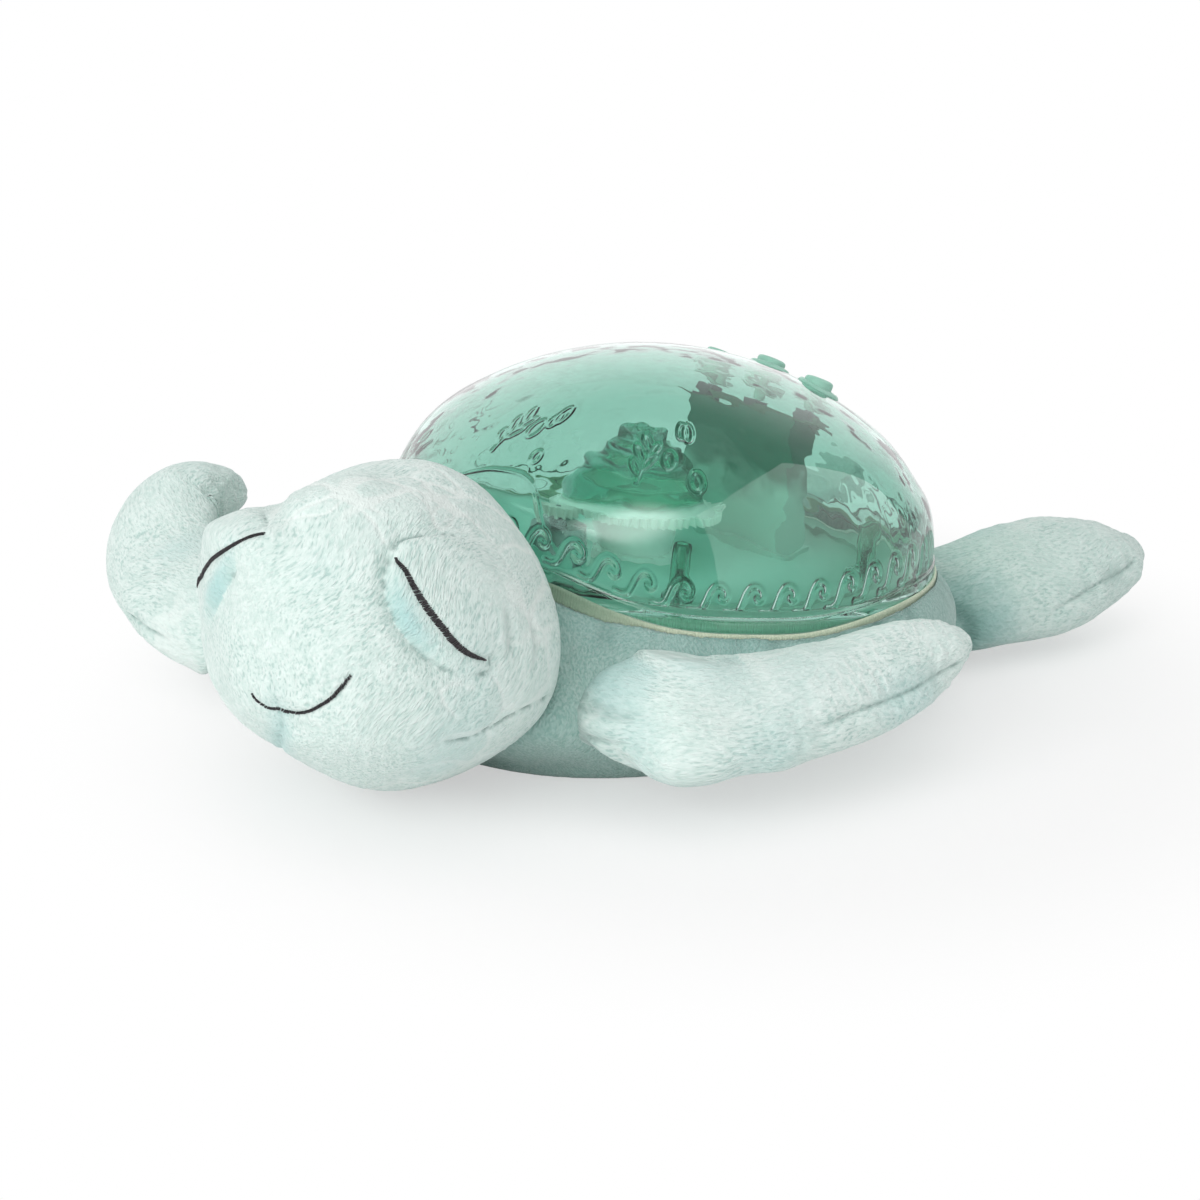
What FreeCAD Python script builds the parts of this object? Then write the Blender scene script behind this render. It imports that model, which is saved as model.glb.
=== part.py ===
import FreeCAD, Part
import math
import os

# A stuffed sleeping turtle that carries a night light under a clear green dome.
# Millimetres, +Z up, the head at -Y and the turtle's left side at +X.
# Everything is first placed about the middle of the dome, on the ground, and
# then moved by shell_x and shell_y, so the part stands centred on its origin.

V = FreeCAD.Vector
os.makedirs("parts", exist_ok=True)

# Place of the dome's middle over the ground
shell_x = 31.2
shell_y = 7.7
rim_height = 51.0
unit_pitch = 8.0

# Dome: radius and rise over its lip, wall, and the skirt that hangs at its sides
dome_radius = 98.4
dome_rise = 69.0
dome_wall = 2.5
lip_height = 3.0
lip_step = 0.8
lip_foot = 6.0
skirt_wall = 1.5
skirt_drop = 5.0

# Fits between still pieces
seat_gap = 0.3
fit_gap = 0.2

# Ribbed collar band round the rim
band_height = 8.7
band_thick = 1.6

# Base tray under the dome
flange_thick = 3.0
tray_depth = 36.0
tray_wall = 2.2
tray_top_inset = 7.0
tray_taper = 24.0
ledge_depth = 2.0
ledge_inset = 4.0

# Screw posts inside the dome, each held to its wall by a rib, and the bosses
# under them: angles back from the side, and how far in from the dome's radius
front_post_angle = -39.0
rear_post_angle = 34.0
post_inset = 23.4
post_diameter = 6.5
post_height = 20.0
post_foot_diameter = 11.0
post_foot_height = 3.0
post_rib_thick = 1.6
post_rib_height = 12.0
screw_bore = 2.6
screw_diameter = 2.5
screw_bite = 12.0
screw_hole = 3.4
screw_head = 5.6
screw_head_height = 2.0
boss_diameter = 9.6

# Battery bay, three cells side by side across the unit
cell_diameter = 14.5
cell_length = 50.5
cell_count = 3
cell_pitch = 15.0
contact_room = 2.2
bay_to_speaker = 2.4
bay_slack = 0.8
bay_wall = 1.6
bay_headroom = 0.6
door_thick = 2.0
door_overlap = 1.2
door_grip_width = 16.0
door_grip_length = 4.0
door_grip_inset = 3.0
door_grip_depth = 1.0
cell_nub = 1.2
cell_nub_diameter = 5.5
contact_side = 10.0
contact_thick = 0.4
contact_bump_base = 8.0
contact_bump_tip = 4.8

# Speaker in the front of the tray
speaker_diameter = 40.0
speaker_flange = 2.0
speaker_rim = 2.0
speaker_cone_wall = 1.0
speaker_cone_hub = 14.0
speaker_depth = 13.0
speaker_seat_wall = 1.8
magnet_diameter = 22.0
magnet_depth = 6.0
magnet_seat = 1.0
grille_slots = 7
grille_pitch = 4.6
grille_slot_width = 1.8

# Circuit board over the battery bay
board_thick = 1.6
main_board_width = 78.0
main_board_length = 46.0
main_board_rise = 3.0
board_to_boss = 1.5
peg_diameter = 5.0

# Components on the main board: x and y from its middle, then width, length and
# height of the blocks, and radius and height of the round cans
board_blocks = [(-7.0, 1.0, 14.0, 14.0, 1.6), (15.0, -7.0, 10.0, 6.0, 1.6), (-28.0, -15.0, 12.0, 6.0, 5.0)]
board_cans = [(26.0, 10.0, 4.0, 7.0), (-26.0, 12.0, 3.0, 6.0)]

# Stiffening rib of the deck
deck_rib_inset = 12.0
deck_rib_wall = 1.6
deck_rib_height = 1.2

# Lamp: its place, reflector cup, board and light sources
lamp_y = -13.0
cup_diameter = 29.0
cup_wall = 2.0
cup_height = 15.0
cup_foot_diameter = 38.0
cup_foot_height = 1.6
led_diameter = 5.0
led_height = 7.0
led_circle = 6.5
led_count = 3

# Turning ripple lens with its toothed ring, and the motor's pinion
gear_module = 1.0
lens_teeth = 60
pinion_teeth = 14
gear_face = 3.0
mesh_play = 0.28
lens_running_gap = 0.05
lens_rise_gap = 0.3
lens_thick = 2.0
lens_crown = 27.0
lens_waves = 5
lens_wave_height = 1.0
lens_hub_depth = 6.0
lens_window = 20.0
pinion_over = 0.6
motor_diameter = 20.0
motor_shaft = 2.0
motor_clip_wall = 1.6
motor_clip_height = 6.0

# Three push buttons in a row behind the crown of the dome
button_y = 48.0
button_pitch = 25.0
button_diameter = 10.6
button_gap = 0.25
button_stand = 2.4
button_travel = 0.6
button_flange = 2.0
button_flange_thick = 1.2
button_flange_drop = 2.4
button_stem = 4.0
button_pad = 1.0
button_pad_width = 2.2
switch_side = 6.0
switch_height = 3.5
plunger_diameter = 3.0
plunger_height = 0.7
button_board_depth = 15.5
button_board_length = 70.0
button_board_width = 13.0

# Column that carries the button board up from the deck
column_inset = 9.0
column_depth = 12.0
column_wall = 1.6
column_foot_margin = 3.0
column_foot_thick = 2.0

# Stuffed body: height, lean, front, back, half width of each level
body_levels = [
    (-0.5, 0.0, 115.0, 94.0, 96.0),
    (9.0, 1.5, 127.0, 108.0, 107.0),
    (21.0, 3.5, 131.0, 115.0, 112.0),
    (31.5, 6.0, 121.0, 112.0, 108.5),
]
cavity_gap = 0.4

# Belly window, its flap and the tapes that close it
window_side_margin = 9.55
window_front_margin = 9.0
window_back_margin = 9.2
window_corner = 8.0
recess_margin = 6.0
recess_depth = 4.2
flap_thick = 3.0
flap_ground_gap = 0.8
flap_side_gap = 1.2
tape_width = 9.0
tape_thick = 0.8

# Stuffed head, turned a little to the turtle's left: along its own axis
# each level is distance forward, distance to its right, half width, up, down, height
head_x = 13.3
head_y = -137.0
head_turn = 20.9
head_levels = [
    (-57.0, 5.0, 11.0, 12.0, 10.0, 60.0),
    (-52.0, 5.0, 27.0, 28.0, 26.0, 60.0),
    (-36.0, 4.5, 45.0, 48.0, 44.5, 59.0),
    (-8.0, 1.5, 58.7, 54.5, 53.5, 55.5),
    (22.0, -1.0, 57.0, 58.0, 46.5, 56.0),
    (44.0, -1.5, 42.5, 45.0, 34.5, 52.0),
    (57.0, 0.5, 27.0, 26.0, 20.0, 49.0),
    (62.0, 1.5, 10.0, 9.5, 8.0, 47.5),
]

# Flippers: x, y, height, half width, half thickness, roll of each level
front_left_levels = [
    (52.0, -84.0, 34.0, 16.0, 13.0, 18.0),
    (75.0, -83.0, 33.0, 23.0, 16.0, 20.0),
    (94.0, -73.0, 31.0, 27.5, 18.0, 22.0),
    (106.0, -46.0, 33.5, 25.5, 16.0, 22.0),
    (114.0, -9.0, 37.0, 20.5, 13.0, 22.0),
    (119.0, 13.0, 38.5, 15.5, 10.0, 20.0),
    (121.0, 26.0, 39.5, 9.0, 6.5, 20.0),
    (121.5, 31.0, 40.0, 3.5, 3.0, 20.0),
]
front_right_levels = [
    (-58.0, -88.0, 26.0, 18.0, 14.0, -14.0),
    (-88.0, -105.0, 25.0, 25.0, 16.0, -16.0),
    (-117.0, -112.0, 25.0, 27.0, 17.0, -20.0),
    (-146.0, -106.0, 28.5, 24.5, 15.6, -29.4),
    (-170.0, -92.0, 35.5, 24.5, 15.5, -36.0),
    (-176.5, -77.0, 40.0, 22.6, 14.5, -40.0),
    (-175.0, -63.0, 41.0, 17.0, 13.0, -41.0),
    (-168.0, -58.5, 41.0, 10.1, 8.9, -36.4),
    (-166.2, -55.2, 42.0, 5.1, 3.9, -33.1),
]
rear_levels = [
    (44.0, 78.0, 21.0, 20.0, 13.0, 14.0),
    (54.0, 104.0, 20.5, 25.0, 14.0, 18.0),
    (61.0, 129.0, 22.5, 28.0, 14.5, 20.0),
    (65.0, 149.0, 24.5, 26.0, 13.5, 20.0),
    (68.0, 165.0, 25.5, 20.0, 11.0, 20.0),
    (69.0, 177.0, 25.0, 12.0, 7.5, 18.0),
    (69.5, 183.0, 25.0, 4.0, 3.0, 18.0),
]
tail_levels = [
    (0.0, 96.0, 16.0, 15.0, 10.0, 0.0),
    (0.0, 116.0, 12.5, 12.0, 8.5, 0.0),
    (0.0, 130.0, 10.0, 7.5, 5.5, 0.0),
    (0.0, 137.0, 9.0, 2.5, 2.0, 0.0),
]


def quarter(a, b):
    """Two tangent arcs from (a, 0) to (0, b): start, middle, join, middle, end."""
    turn = math.atan2(a, b)
    c = math.cos(turn)
    s = math.sin(turn)
    r_end = (a * (1 - s) - b * c) / (1 - c - s)
    r_flat = (b * (1 - c) - a * s) / (1 - c - s)
    points = []
    for angle in (0.0, turn / 2, turn):
        points.append((a - r_end + r_end * math.cos(angle), r_end * math.sin(angle)))
    for angle in ((turn + math.pi / 2) / 2, math.pi / 2):
        points.append((r_flat * math.cos(angle), b - r_flat + r_flat * math.sin(angle)))
    return points


def oval(right, left, back, front, place):
    """Closed outline of eight tangent arcs, laid in the plane of a placement."""
    corners = [(right, back, 1, 1), (left, back, -1, 1), (left, front, -1, -1), (right, front, 1, -1)]
    edges = []
    for k, (a, b, sx, sy) in enumerate(corners):
        points = [place.multVec(V(sx * x, sy * y, 0)) for x, y in quarter(a, b)]
        if k % 2:
            points.reverse()
        edges.append(Part.Arc(points[0], points[1], points[2]).toShape())
        edges.append(Part.Arc(points[2], points[3], points[4]).toShape())
    return Part.Wire(edges)


def stuffed(levels, roll_first=None):
    """Swelling form through ovals square to the line of its own middles."""
    middles = [V(x, y, z) for x, y, z, w, up, down, roll in levels]
    wires = []
    for k, (x, y, z, w, up, down, roll) in enumerate(levels):
        ahead = middles[min(k + 1, len(levels) - 1)] - middles[max(k - 1, 0)]
        ahead.normalize()
        side = ahead.cross(V(0, 0, 1))
        side.normalize()
        lift = side.cross(ahead)
        turn = FreeCAD.Rotation(ahead, roll)
        side = turn.multVec(side)
        lift = turn.multVec(lift)
        place = FreeCAD.Placement(middles[k], FreeCAD.Rotation(side, lift, side.cross(lift), "XYZ"))
        wires.append(oval(w, w, up, down, place))
    return Part.makeLoft(wires, True, False)


def flipper(levels, mirror=1):
    rows = [(mirror * x, y, z, w, t, t, mirror * roll) for x, y, z, w, t, roll in levels]
    return stuffed(rows)


def above_ground(shape):
    reach = 4 * dome_radius
    box = Part.makeBox(2 * reach, 2 * reach, reach, V(-reach, -reach, 0))
    return shape.common(box)


def main_solid(shape):
    """The largest solid, so no sliver that a cut leaves behind is kept."""
    return max(shape.Solids, key=lambda s: s.Volume)


def crown_solid(radius, rise, z0):
    """Dome of two tangent arcs turned about z, flat underneath."""
    points = [V(x, 0, z0 + z) for x, z in quarter(radius, rise)]
    middle = V(0, 0, z0)
    lines = [Part.Arc(points[0], points[1], points[2]).toShape(),
             Part.Arc(points[2], points[3], points[4]).toShape(),
             Part.makeLine(points[4], middle), Part.makeLine(middle, points[0])]
    return Part.Face(Part.Wire(lines)).revolve(V(0, 0, 0), V(0, 0, 1), 360)


def taper(r0, z0, r1, z1):
    return Part.makeCone(r0, r1, z1 - z0, V(0, 0, z0))


def disc(radius, z0, z1, x=0.0, y=0.0):
    return Part.makeCylinder(radius, z1 - z0, V(x, y, z0))


def ring(outer, inner, z0, z1, x=0.0, y=0.0):
    return disc(outer, z0, z1, x, y).cut(disc(inner, z0 - 1, z1 + 1, x, y))


def block(x0, x1, y0, y1, z0, z1):
    return Part.makeBox(x1 - x0, y1 - y0, z1 - z0, V(x0, y0, z0))


def round_block(x0, x1, y0, y1, z0, z1, corner):
    box = block(x0, x1, y0, y1, z0, z1)
    upright = []
    for edge in box.Edges:
        a = edge.Vertexes[0].Point
        b = edge.Vertexes[1].Point
        if abs(a.z - b.z) > 0.001:
            upright.append(edge)
    return box.makeFillet(corner, upright)


# The hard unit has its own frame: origin in the middle of the rim, z out of the dome
unit_place = FreeCAD.Placement(V(0, 0, rim_height), FreeCAD.Rotation(V(1, 0, 0), -unit_pitch))
object_shift = V(shell_x, shell_y, 0)


def to_ground_frame(shape):
    moved = shape.copy()
    moved.Placement = unit_place.multiply(moved.Placement)
    return moved


def save(name, shape, in_unit=False):
    if in_unit:
        shape = to_ground_frame(shape)
    shape = shape.copy()
    shape.translate(object_shift)
    shape.exportStep("parts/" + name + ".step")


# Radii and places that follow from the dome's radius, from the rim inward
lip_r = dome_radius + lip_step
band_r = lip_r - skirt_wall - seat_gap
band_hole_r = band_r - band_thick
flange_r = band_hole_r - seat_gap
ledge_r = flange_r - ledge_inset
tray_r = flange_r - tray_top_inset
tray_r1 = tray_r - tray_taper
post_circle = dome_radius - post_inset
post_angles = (front_post_angle, rear_post_angle, 180.0 - rear_post_angle, 180.0 - front_post_angle)
post_places = [(post_circle * math.cos(math.radians(a)), post_circle * math.sin(math.radians(a)))
               for a in post_angles]
speaker_seat_r = speaker_diameter / 2 + fit_gap + speaker_seat_wall
speaker_y = -(tray_r1 - tray_wall - speaker_diameter / 2 - seat_gap)
bay_front = speaker_y + speaker_seat_r + bay_to_speaker + bay_wall
bay_back = bay_front + cell_count * cell_pitch + bay_slack
bay_half = cell_length / 2 + contact_room
window_half_width = bay_half + window_side_margin
window_front = bay_front - window_front_margin
window_back = bay_back + window_back_margin

# Dome
outer_dome = crown_solid(dome_radius, dome_rise, lip_height)
inner_dome = crown_solid(dome_radius - dome_wall, dome_rise - dome_wall, lip_height)
lip = ring(lip_r, lip_r - lip_foot, 0, lip_height)
skirt_curve = (lip_r ** 2 + skirt_drop ** 2) / (2 * skirt_drop)
skirt_tool = Part.makeCylinder(skirt_curve, 4 * lip_r, V(-2 * lip_r, 0, skirt_curve - skirt_drop), V(1, 0, 0))
skirt = ring(lip_r, lip_r - skirt_wall, -skirt_drop, lip_height).common(skirt_tool)
dome = outer_dome.cut(inner_dome).fuse(lip).fuse(skirt)
crown_points = quarter(dome_radius, dome_rise)
join_x, join_z = crown_points[2]
flat_r = join_x / math.cos(math.atan2(dome_radius, dome_rise))
end_r = dome_radius - (dome_radius - join_x) / (1 - math.cos(math.atan2(dome_radius, dome_rise)))


def dome_height(x, y):
    """Height of the dome's outer face over the rim plane."""
    out = math.hypot(x, y)
    if out <= join_x:
        return lip_height + dome_rise - flat_r + math.sqrt(flat_r ** 2 - out ** 2)
    return lip_height + math.sqrt((dome_radius - end_r) ** 2 - (out - end_r) ** 2)


# The buttons all press along the dome's own slope at the middle one
button_lean = math.degrees(math.asin(button_y / flat_r))
button_axis = V(0, math.sin(math.radians(button_lean)), math.cos(math.radians(button_lean)))
button_turn = FreeCAD.Rotation(V(1, 0, 0), -button_lean)
button_xs = [-button_pitch, 0.0, button_pitch]
middle_top = V(0, button_y, dome_height(0, button_y))


def along_button(shape, x):
    """Moves a piece built upright about the middle button to the button at x."""
    moved = shape.copy()
    moved.Placement = FreeCAD.Placement(middle_top + V(x, 0, 0), button_turn).multiply(moved.Placement)
    return moved


def surface_drop(x):
    """How far the dome's face at a button lies below the middle one, along the press."""
    point = V(x, button_y, dome_height(x, button_y))
    return (middle_top + V(x, 0, 0) - point).dot(button_axis)


button_hole = button_diameter / 2 + button_gap
outer_all = outer_dome.fuse(disc(lip_r, 0, lip_height))
pads = []
for x in button_xs:
    drop = surface_drop(x)
    pad = disc(button_hole + button_pad_width, -drop - 2 * dome_wall, -drop + button_pad)
    pads.append(along_button(pad, x))
posts = []
for angle, (x, y) in zip(post_angles, post_places):
    posts.append(disc(post_diameter / 2, 0, post_height, x, y))
    posts.append(disc(post_foot_diameter / 2, 0, post_foot_height, x, y))
    rib = block(post_circle, lip_r, -post_rib_thick / 2, post_rib_thick / 2, 0, post_rib_height)
    rib.rotate(V(0, 0, 0), V(0, 0, 1), angle)
    posts.append(rib.common(outer_all))
board_top = -button_board_depth
dome = dome.multiFuse(pads + posts)
for x in button_xs:
    dome = dome.cut(along_button(disc(button_hole, -14, 8), x))
for x in button_xs:
    drop = surface_drop(x)
    room = disc(button_hole + button_pad_width + 1, -drop - 14, -drop + 8)
    keep = along_button(room, x).common(inner_dome)
    for solid in keep.Solids:
        dome = dome.cut(solid)
for x, y in post_places:
    dome = dome.cut(disc(screw_bore / 2, -1, screw_bite + 1, x, y))
dome = main_solid(dome)
save("dome", dome, True)

# Base tray with its flange, ledge, bosses, battery bay and speaker grille
tray_top = -flange_thick
tray_bottom = -tray_depth
tray_outer = taper(tray_r1, tray_bottom, tray_r, tray_top)
tray_inner = taper(tray_r1 - tray_wall, tray_bottom + tray_wall, tray_r - tray_wall, tray_top)
flange = ring(flange_r, tray_r - tray_wall, tray_top, 0)
tray = tray_outer.cut(tray_inner).fuse(flange).cut(disc(ledge_r, -ledge_depth, 1))

floor_top = tray_bottom + tray_wall
cell_bottom = tray_bottom + door_thick + bay_headroom
bay_roof = cell_bottom + cell_diameter + bay_headroom
bay_outer = block(-bay_half - bay_wall, bay_half + bay_wall, bay_front - bay_wall,
                  bay_back + bay_wall, floor_top - 1, bay_roof + bay_wall)
bay_inner = block(-bay_half, bay_half, bay_front, bay_back, tray_bottom - 1, bay_roof)
door_cut = block(-bay_half - door_overlap, bay_half + door_overlap, bay_front - door_overlap,
                 bay_back + door_overlap, tray_bottom - 1, tray_bottom + door_thick + fit_gap)
boss_parts = []
for x, y in post_places:
    boss = disc(boss_diameter / 2, tray_bottom, -ledge_depth, x, y)
    boss_parts.append(boss.common(tray_outer.fuse(disc(boss_diameter / 2, tray_top - 3, -ledge_depth, x, y))))
board_bottom = bay_roof + bay_wall + main_board_rise
peg_xs = (-bay_half + peg_diameter, bay_half - peg_diameter)
peg_ys = (bay_front + peg_diameter, bay_back - peg_diameter)
pegs = []
for x in peg_xs:
    for y in peg_ys:
        pegs.append(disc(peg_diameter / 2, bay_roof + bay_wall - 0.5, board_bottom, x, y))
speaker_seat = ring(speaker_seat_r, speaker_seat_r - speaker_seat_wall,
                    floor_top - 0.5, floor_top + speaker_flange + 2, 0, speaker_y)
speaker_seat = speaker_seat.common(tray_outer)
tray = tray.multiFuse([bay_outer] + boss_parts + pegs + [speaker_seat])
tray = tray.cut(bay_inner).cut(door_cut)
for x, y in post_places:
    tray = tray.cut(disc(screw_hole / 2, tray_bottom - 1, 1, x, y))
    tray = tray.cut(disc(screw_head / 2 + 0.4, tray_bottom - 1, -screw_bite - 4, x, y))
grille_reach = speaker_diameter / 2 - 3
for k in range(grille_slots):
    y = (k - (grille_slots - 1) / 2) * grille_pitch
    half = math.sqrt(max(grille_reach ** 2 - y ** 2, 4.0))
    slot = block(-half, half, speaker_y + y - grille_slot_width / 2,
                 speaker_y + y + grille_slot_width / 2, tray_bottom - 1, floor_top + 0.5)
    tray = tray.cut(slot)
tray = main_solid(tray)
save("base_tray", tray, True)

# Deck that closes the tray and carries the lamp and the motor
deck_top = -fit_gap
motor_y = lamp_y - gear_module * (lens_teeth + pinion_teeth) / 2
deck = disc(ledge_r - fit_gap, -ledge_depth, deck_top)
for x, y in post_places:
    deck = deck.cut(disc(screw_hole / 2, -10, 10, x, y))
clip = ring(motor_diameter / 2 + fit_gap + motor_clip_wall, motor_diameter / 2 + fit_gap,
            deck_top - 0.5, motor_clip_height, 0, motor_y)
slit = block(-40, 40, motor_y - 2, motor_y + 2, deck_top, motor_clip_height + 1)
clip = clip.cut(slit)
deck_rib_r = ledge_r - deck_rib_inset
deck_rib = ring(deck_rib_r, deck_rib_r - deck_rib_wall, deck_top - 0.5, deck_rib_height)
for x, y in post_places:
    deck_rib = deck_rib.cut(disc(post_foot_diameter / 2 + 1, -5, 10, x, y))
deck = deck.fuse(clip).fuse(deck_rib)
save("inner_deck", deck, True)

# Screws that hold dome, deck and tray together
screw_top = screw_bite - 1
screws = []
for x, y in post_places:
    head_z = -screw_bite - 4
    screw = disc(screw_diameter / 2, head_z, screw_top, x, y)
    head = disc(screw_head / 2, head_z - screw_head_height, head_z, x, y)
    screws.append(screw.fuse(head))
save("dome_screws", Part.makeCompound(screws), True)

# Speaker: frame with its cone, and the magnet behind it
sp_z = floor_top
frame = disc(speaker_diameter / 2, sp_z, sp_z + speaker_flange, 0, speaker_y)
basket_r = speaker_diameter / 2 - speaker_rim
basket = Part.makeCone(basket_r, magnet_diameter / 2 + magnet_seat, speaker_depth - magnet_depth - speaker_flange,
                       V(0, speaker_y, sp_z + speaker_flange))
cone_hollow = Part.makeCone(basket_r - speaker_cone_wall, speaker_cone_hub / 2,
                            speaker_depth - magnet_depth - speaker_cone_wall, V(0, speaker_y, sp_z - 0.001))
speaker = frame.fuse(basket).cut(cone_hollow)
save("speaker_frame", speaker, True)
magnet_z = sp_z + speaker_depth - magnet_depth
save("speaker_magnet", disc(magnet_diameter / 2, magnet_z, magnet_z + magnet_depth, 0, speaker_y), True)

# Cells with their contacts
cell_ys = [bay_front + bay_slack / 2 + cell_pitch * (k + 0.5) for k in range(cell_count)]
cell_z = cell_bottom + cell_diameter / 2
for k, y in enumerate(cell_ys):
    way = 1 if k % 2 == 0 else -1
    can = Part.makeCylinder(cell_diameter / 2, cell_length - cell_nub, V(-way * cell_length / 2, y, cell_z),
                            V(way, 0, 0))
    tip = Part.makeCylinder(cell_nub_diameter / 2, cell_nub, V(way * (cell_length / 2 - cell_nub), y, cell_z),
                            V(way, 0, 0))
    save("battery_" + str(k + 1), can.fuse(tip), True)
leaf_half = contact_side / 2
for name, sign in (("contacts_left", 1), ("contacts_right", -1)):
    leaves = []
    for y in cell_ys:
        outer_x = sign * bay_half
        inner_x = sign * (bay_half - contact_thick)
        leaf = block(min(outer_x, inner_x), max(outer_x, inner_x), y - leaf_half, y + leaf_half,
                     cell_z - leaf_half, cell_z + leaf_half)
        bump_x = sign * (cell_length / 2 + fit_gap)
        bump = Part.makeCone(contact_bump_base / 2, contact_bump_tip / 2, abs(inner_x - bump_x),
                             V(inner_x, y, cell_z), V(-sign, 0, 0))
        leaves.append(leaf.fuse(bump))
    save(name, Part.makeCompound(leaves), True)

# Main circuit board with its larger components
mb_y = (bay_front + bay_back) / 2
main_board = block(-main_board_width / 2, main_board_width / 2, mb_y - main_board_length / 2,
                   mb_y + main_board_length / 2, board_bottom, board_bottom + board_thick)
for x, y in post_places:
    main_board = main_board.cut(disc(boss_diameter / 2 + board_to_boss, board_bottom - 1,
                                     board_bottom + board_thick + 1, x, y))
save("main_board", main_board, True)
top = board_bottom + board_thick
chips = []
for x, y, width, length, height in board_blocks:
    chips.append(block(x - width / 2, x + width / 2, mb_y + y - length / 2, mb_y + y + length / 2,
                       top, top + height))
for x, y, radius, height in board_cans:
    chips.append(disc(radius, top, top + height, x, mb_y + y))
save("board_components", Part.makeCompound(chips), True)

# Lamp
cup_r = cup_diameter / 2
cup = disc(cup_r, deck_top, cup_height, 0, lamp_y)
cup = cup.fuse(disc(cup_foot_diameter / 2, deck_top, cup_foot_height, 0, lamp_y))
cup = cup.cut(disc(cup_r - cup_wall, deck_top - 1, cup_height + 1, 0, lamp_y))
save("lamp_cup", cup, True)
led_board_r = cup_r - cup_wall - fit_gap
save("lamp_board", disc(led_board_r, deck_top, deck_top + board_thick, 0, lamp_y), True)
led_z = deck_top + board_thick
lights = []
for k in range(led_count):
    a = 2 * math.pi * k / led_count
    x = led_circle * math.cos(a)
    y = lamp_y + led_circle * math.sin(a)
    r = led_diameter / 2
    body = disc(r, led_z + 1, led_z + led_height - r, x, y)
    skirt = disc(r + 0.4, led_z, led_z + 1, x, y)
    cap = Part.makeSphere(r, V(x, y, led_z + led_height - r))
    lights.append(body.fuse(skirt).fuse(cap))
save("lamp_leds", Part.makeCompound(lights), True)


def involute(angle):
    return math.tan(angle) - angle


def gear_face_shape(teeth, z, phase):
    """Spur gear outline of straight flanks through three involute points each."""
    pressure = math.radians(20)
    pitch_r = gear_module * teeth / 2
    base_r = pitch_r * math.cos(pressure)
    radii = [pitch_r - 1.2 * gear_module, pitch_r, pitch_r + 0.9 * gear_module]
    half_pitch = (math.pi * gear_module / 2 - mesh_play) / 2 / pitch_r
    half_angles = []
    for r in radii:
        at = math.acos(min(1.0, base_r / max(r, base_r)))
        half_angles.append(half_pitch + involute(pressure) - involute(at))
    points = []
    for k in range(teeth):
        mid = phase + 2 * math.pi * k / teeth
        for r, h in zip(radii, half_angles):
            points.append(V(r * math.cos(mid - h), r * math.sin(mid - h), z))
        for r, h in zip(reversed(radii), reversed(half_angles)):
            points.append(V(r * math.cos(mid + h), r * math.sin(mid + h), z))
    points.append(points[0])
    return Part.Face(Part.makePolygon(points))


# Ripple lens: toothed ring, hub that turns in the cup, and a waved clear crown
ring_z = cup_height + lens_rise_gap
lens_ring = gear_face_shape(lens_teeth, ring_z, -math.pi / 2).extrude(V(0, 0, gear_face))
crown_r = gear_module * (lens_teeth / 2 - 1.2) - 1.0
lens_ring = lens_ring.cut(disc(crown_r - lens_thick, ring_z + lens_thick, ring_z + gear_face + 1))
lens_ring = lens_ring.cut(disc(lens_window / 2, ring_z - 1, ring_z + gear_face + 1))
hub_r = cup_r - cup_wall - lens_running_gap
hub = ring(hub_r, lens_window / 2, ring_z - lens_hub_depth, ring_z + lens_thick)
crown_z = ring_z + gear_face


def crown_curve(lift, reach):
    """Waved line of arcs from the middle of the crown out to its edge."""
    arcs = []
    steps = 4 * lens_waves
    points = []
    for k in range(steps + 1):
        share = k / steps
        wave = lens_wave_height * math.sin(2 * math.pi * lens_waves * share)
        points.append(V(reach * share, 0, crown_z + lift + lens_crown * (1 - share ** 2) + wave))
    for k in range(0, steps, 2):
        arcs.append(Part.Arc(points[k], points[k + 1], points[k + 2]).toShape())
    return arcs, points[0], points[-1]


upper, top_in, top_out = crown_curve(-lens_wave_height, crown_r)
lower, low_in, low_out = crown_curve(-lens_wave_height - lens_thick, crown_r - lens_thick)
edge_low = V(crown_r, 0, crown_z - 0.5)
edge_in = V(crown_r - lens_thick, 0, crown_z - 0.5)
crown_lines = upper + [Part.makeLine(top_out, edge_low), Part.makeLine(edge_low, edge_in)]
if (low_out - edge_in).Length > 0.001:
    crown_lines.append(Part.makeLine(edge_in, low_out))
crown_lines.extend(lower)
crown_lines.append(Part.makeLine(low_in, top_in))
crown_wire = Part.Wire(Part.sortEdges(crown_lines)[0])
crown = Part.Face(crown_wire).revolve(V(0, 0, 0), V(0, 0, 1), 360)
crown = crown.common(disc(crown_r, crown_z - 0.5, crown_z + 2 * lens_crown))
lens = main_solid(lens_ring.fuse(hub).fuse(crown))
lens.translate(V(0, lamp_y, 0))
save("ripple_lens", lens, True)

# Motor with its shaft, and the pinion in mesh with the lens ring
motor_top = ring_z - pinion_over - 1.4
motor = disc(motor_diameter / 2, deck_top, motor_top - 1.5, 0, motor_y)
motor = motor.fuse(disc(3.5, motor_top - 1.5, motor_top, 0, motor_y))
shaft_top = ring_z + gear_face + pinion_over + 0.8
motor = motor.fuse(disc(motor_shaft / 2, motor_top, shaft_top, 0, motor_y))
save("motor", motor, True)
pinion_phase = math.pi / 2 + math.pi / pinion_teeth
pinion = gear_face_shape(pinion_teeth, ring_z - pinion_over, pinion_phase)
pinion = pinion.extrude(V(0, 0, gear_face + 2 * pinion_over))
pinion.translate(V(0, motor_y, 0))
bore = disc(motor_shaft / 2 + lens_running_gap, 0, 2 * shaft_top, 0, motor_y)
save("motor_pinion", pinion.cut(bore), True)

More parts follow.
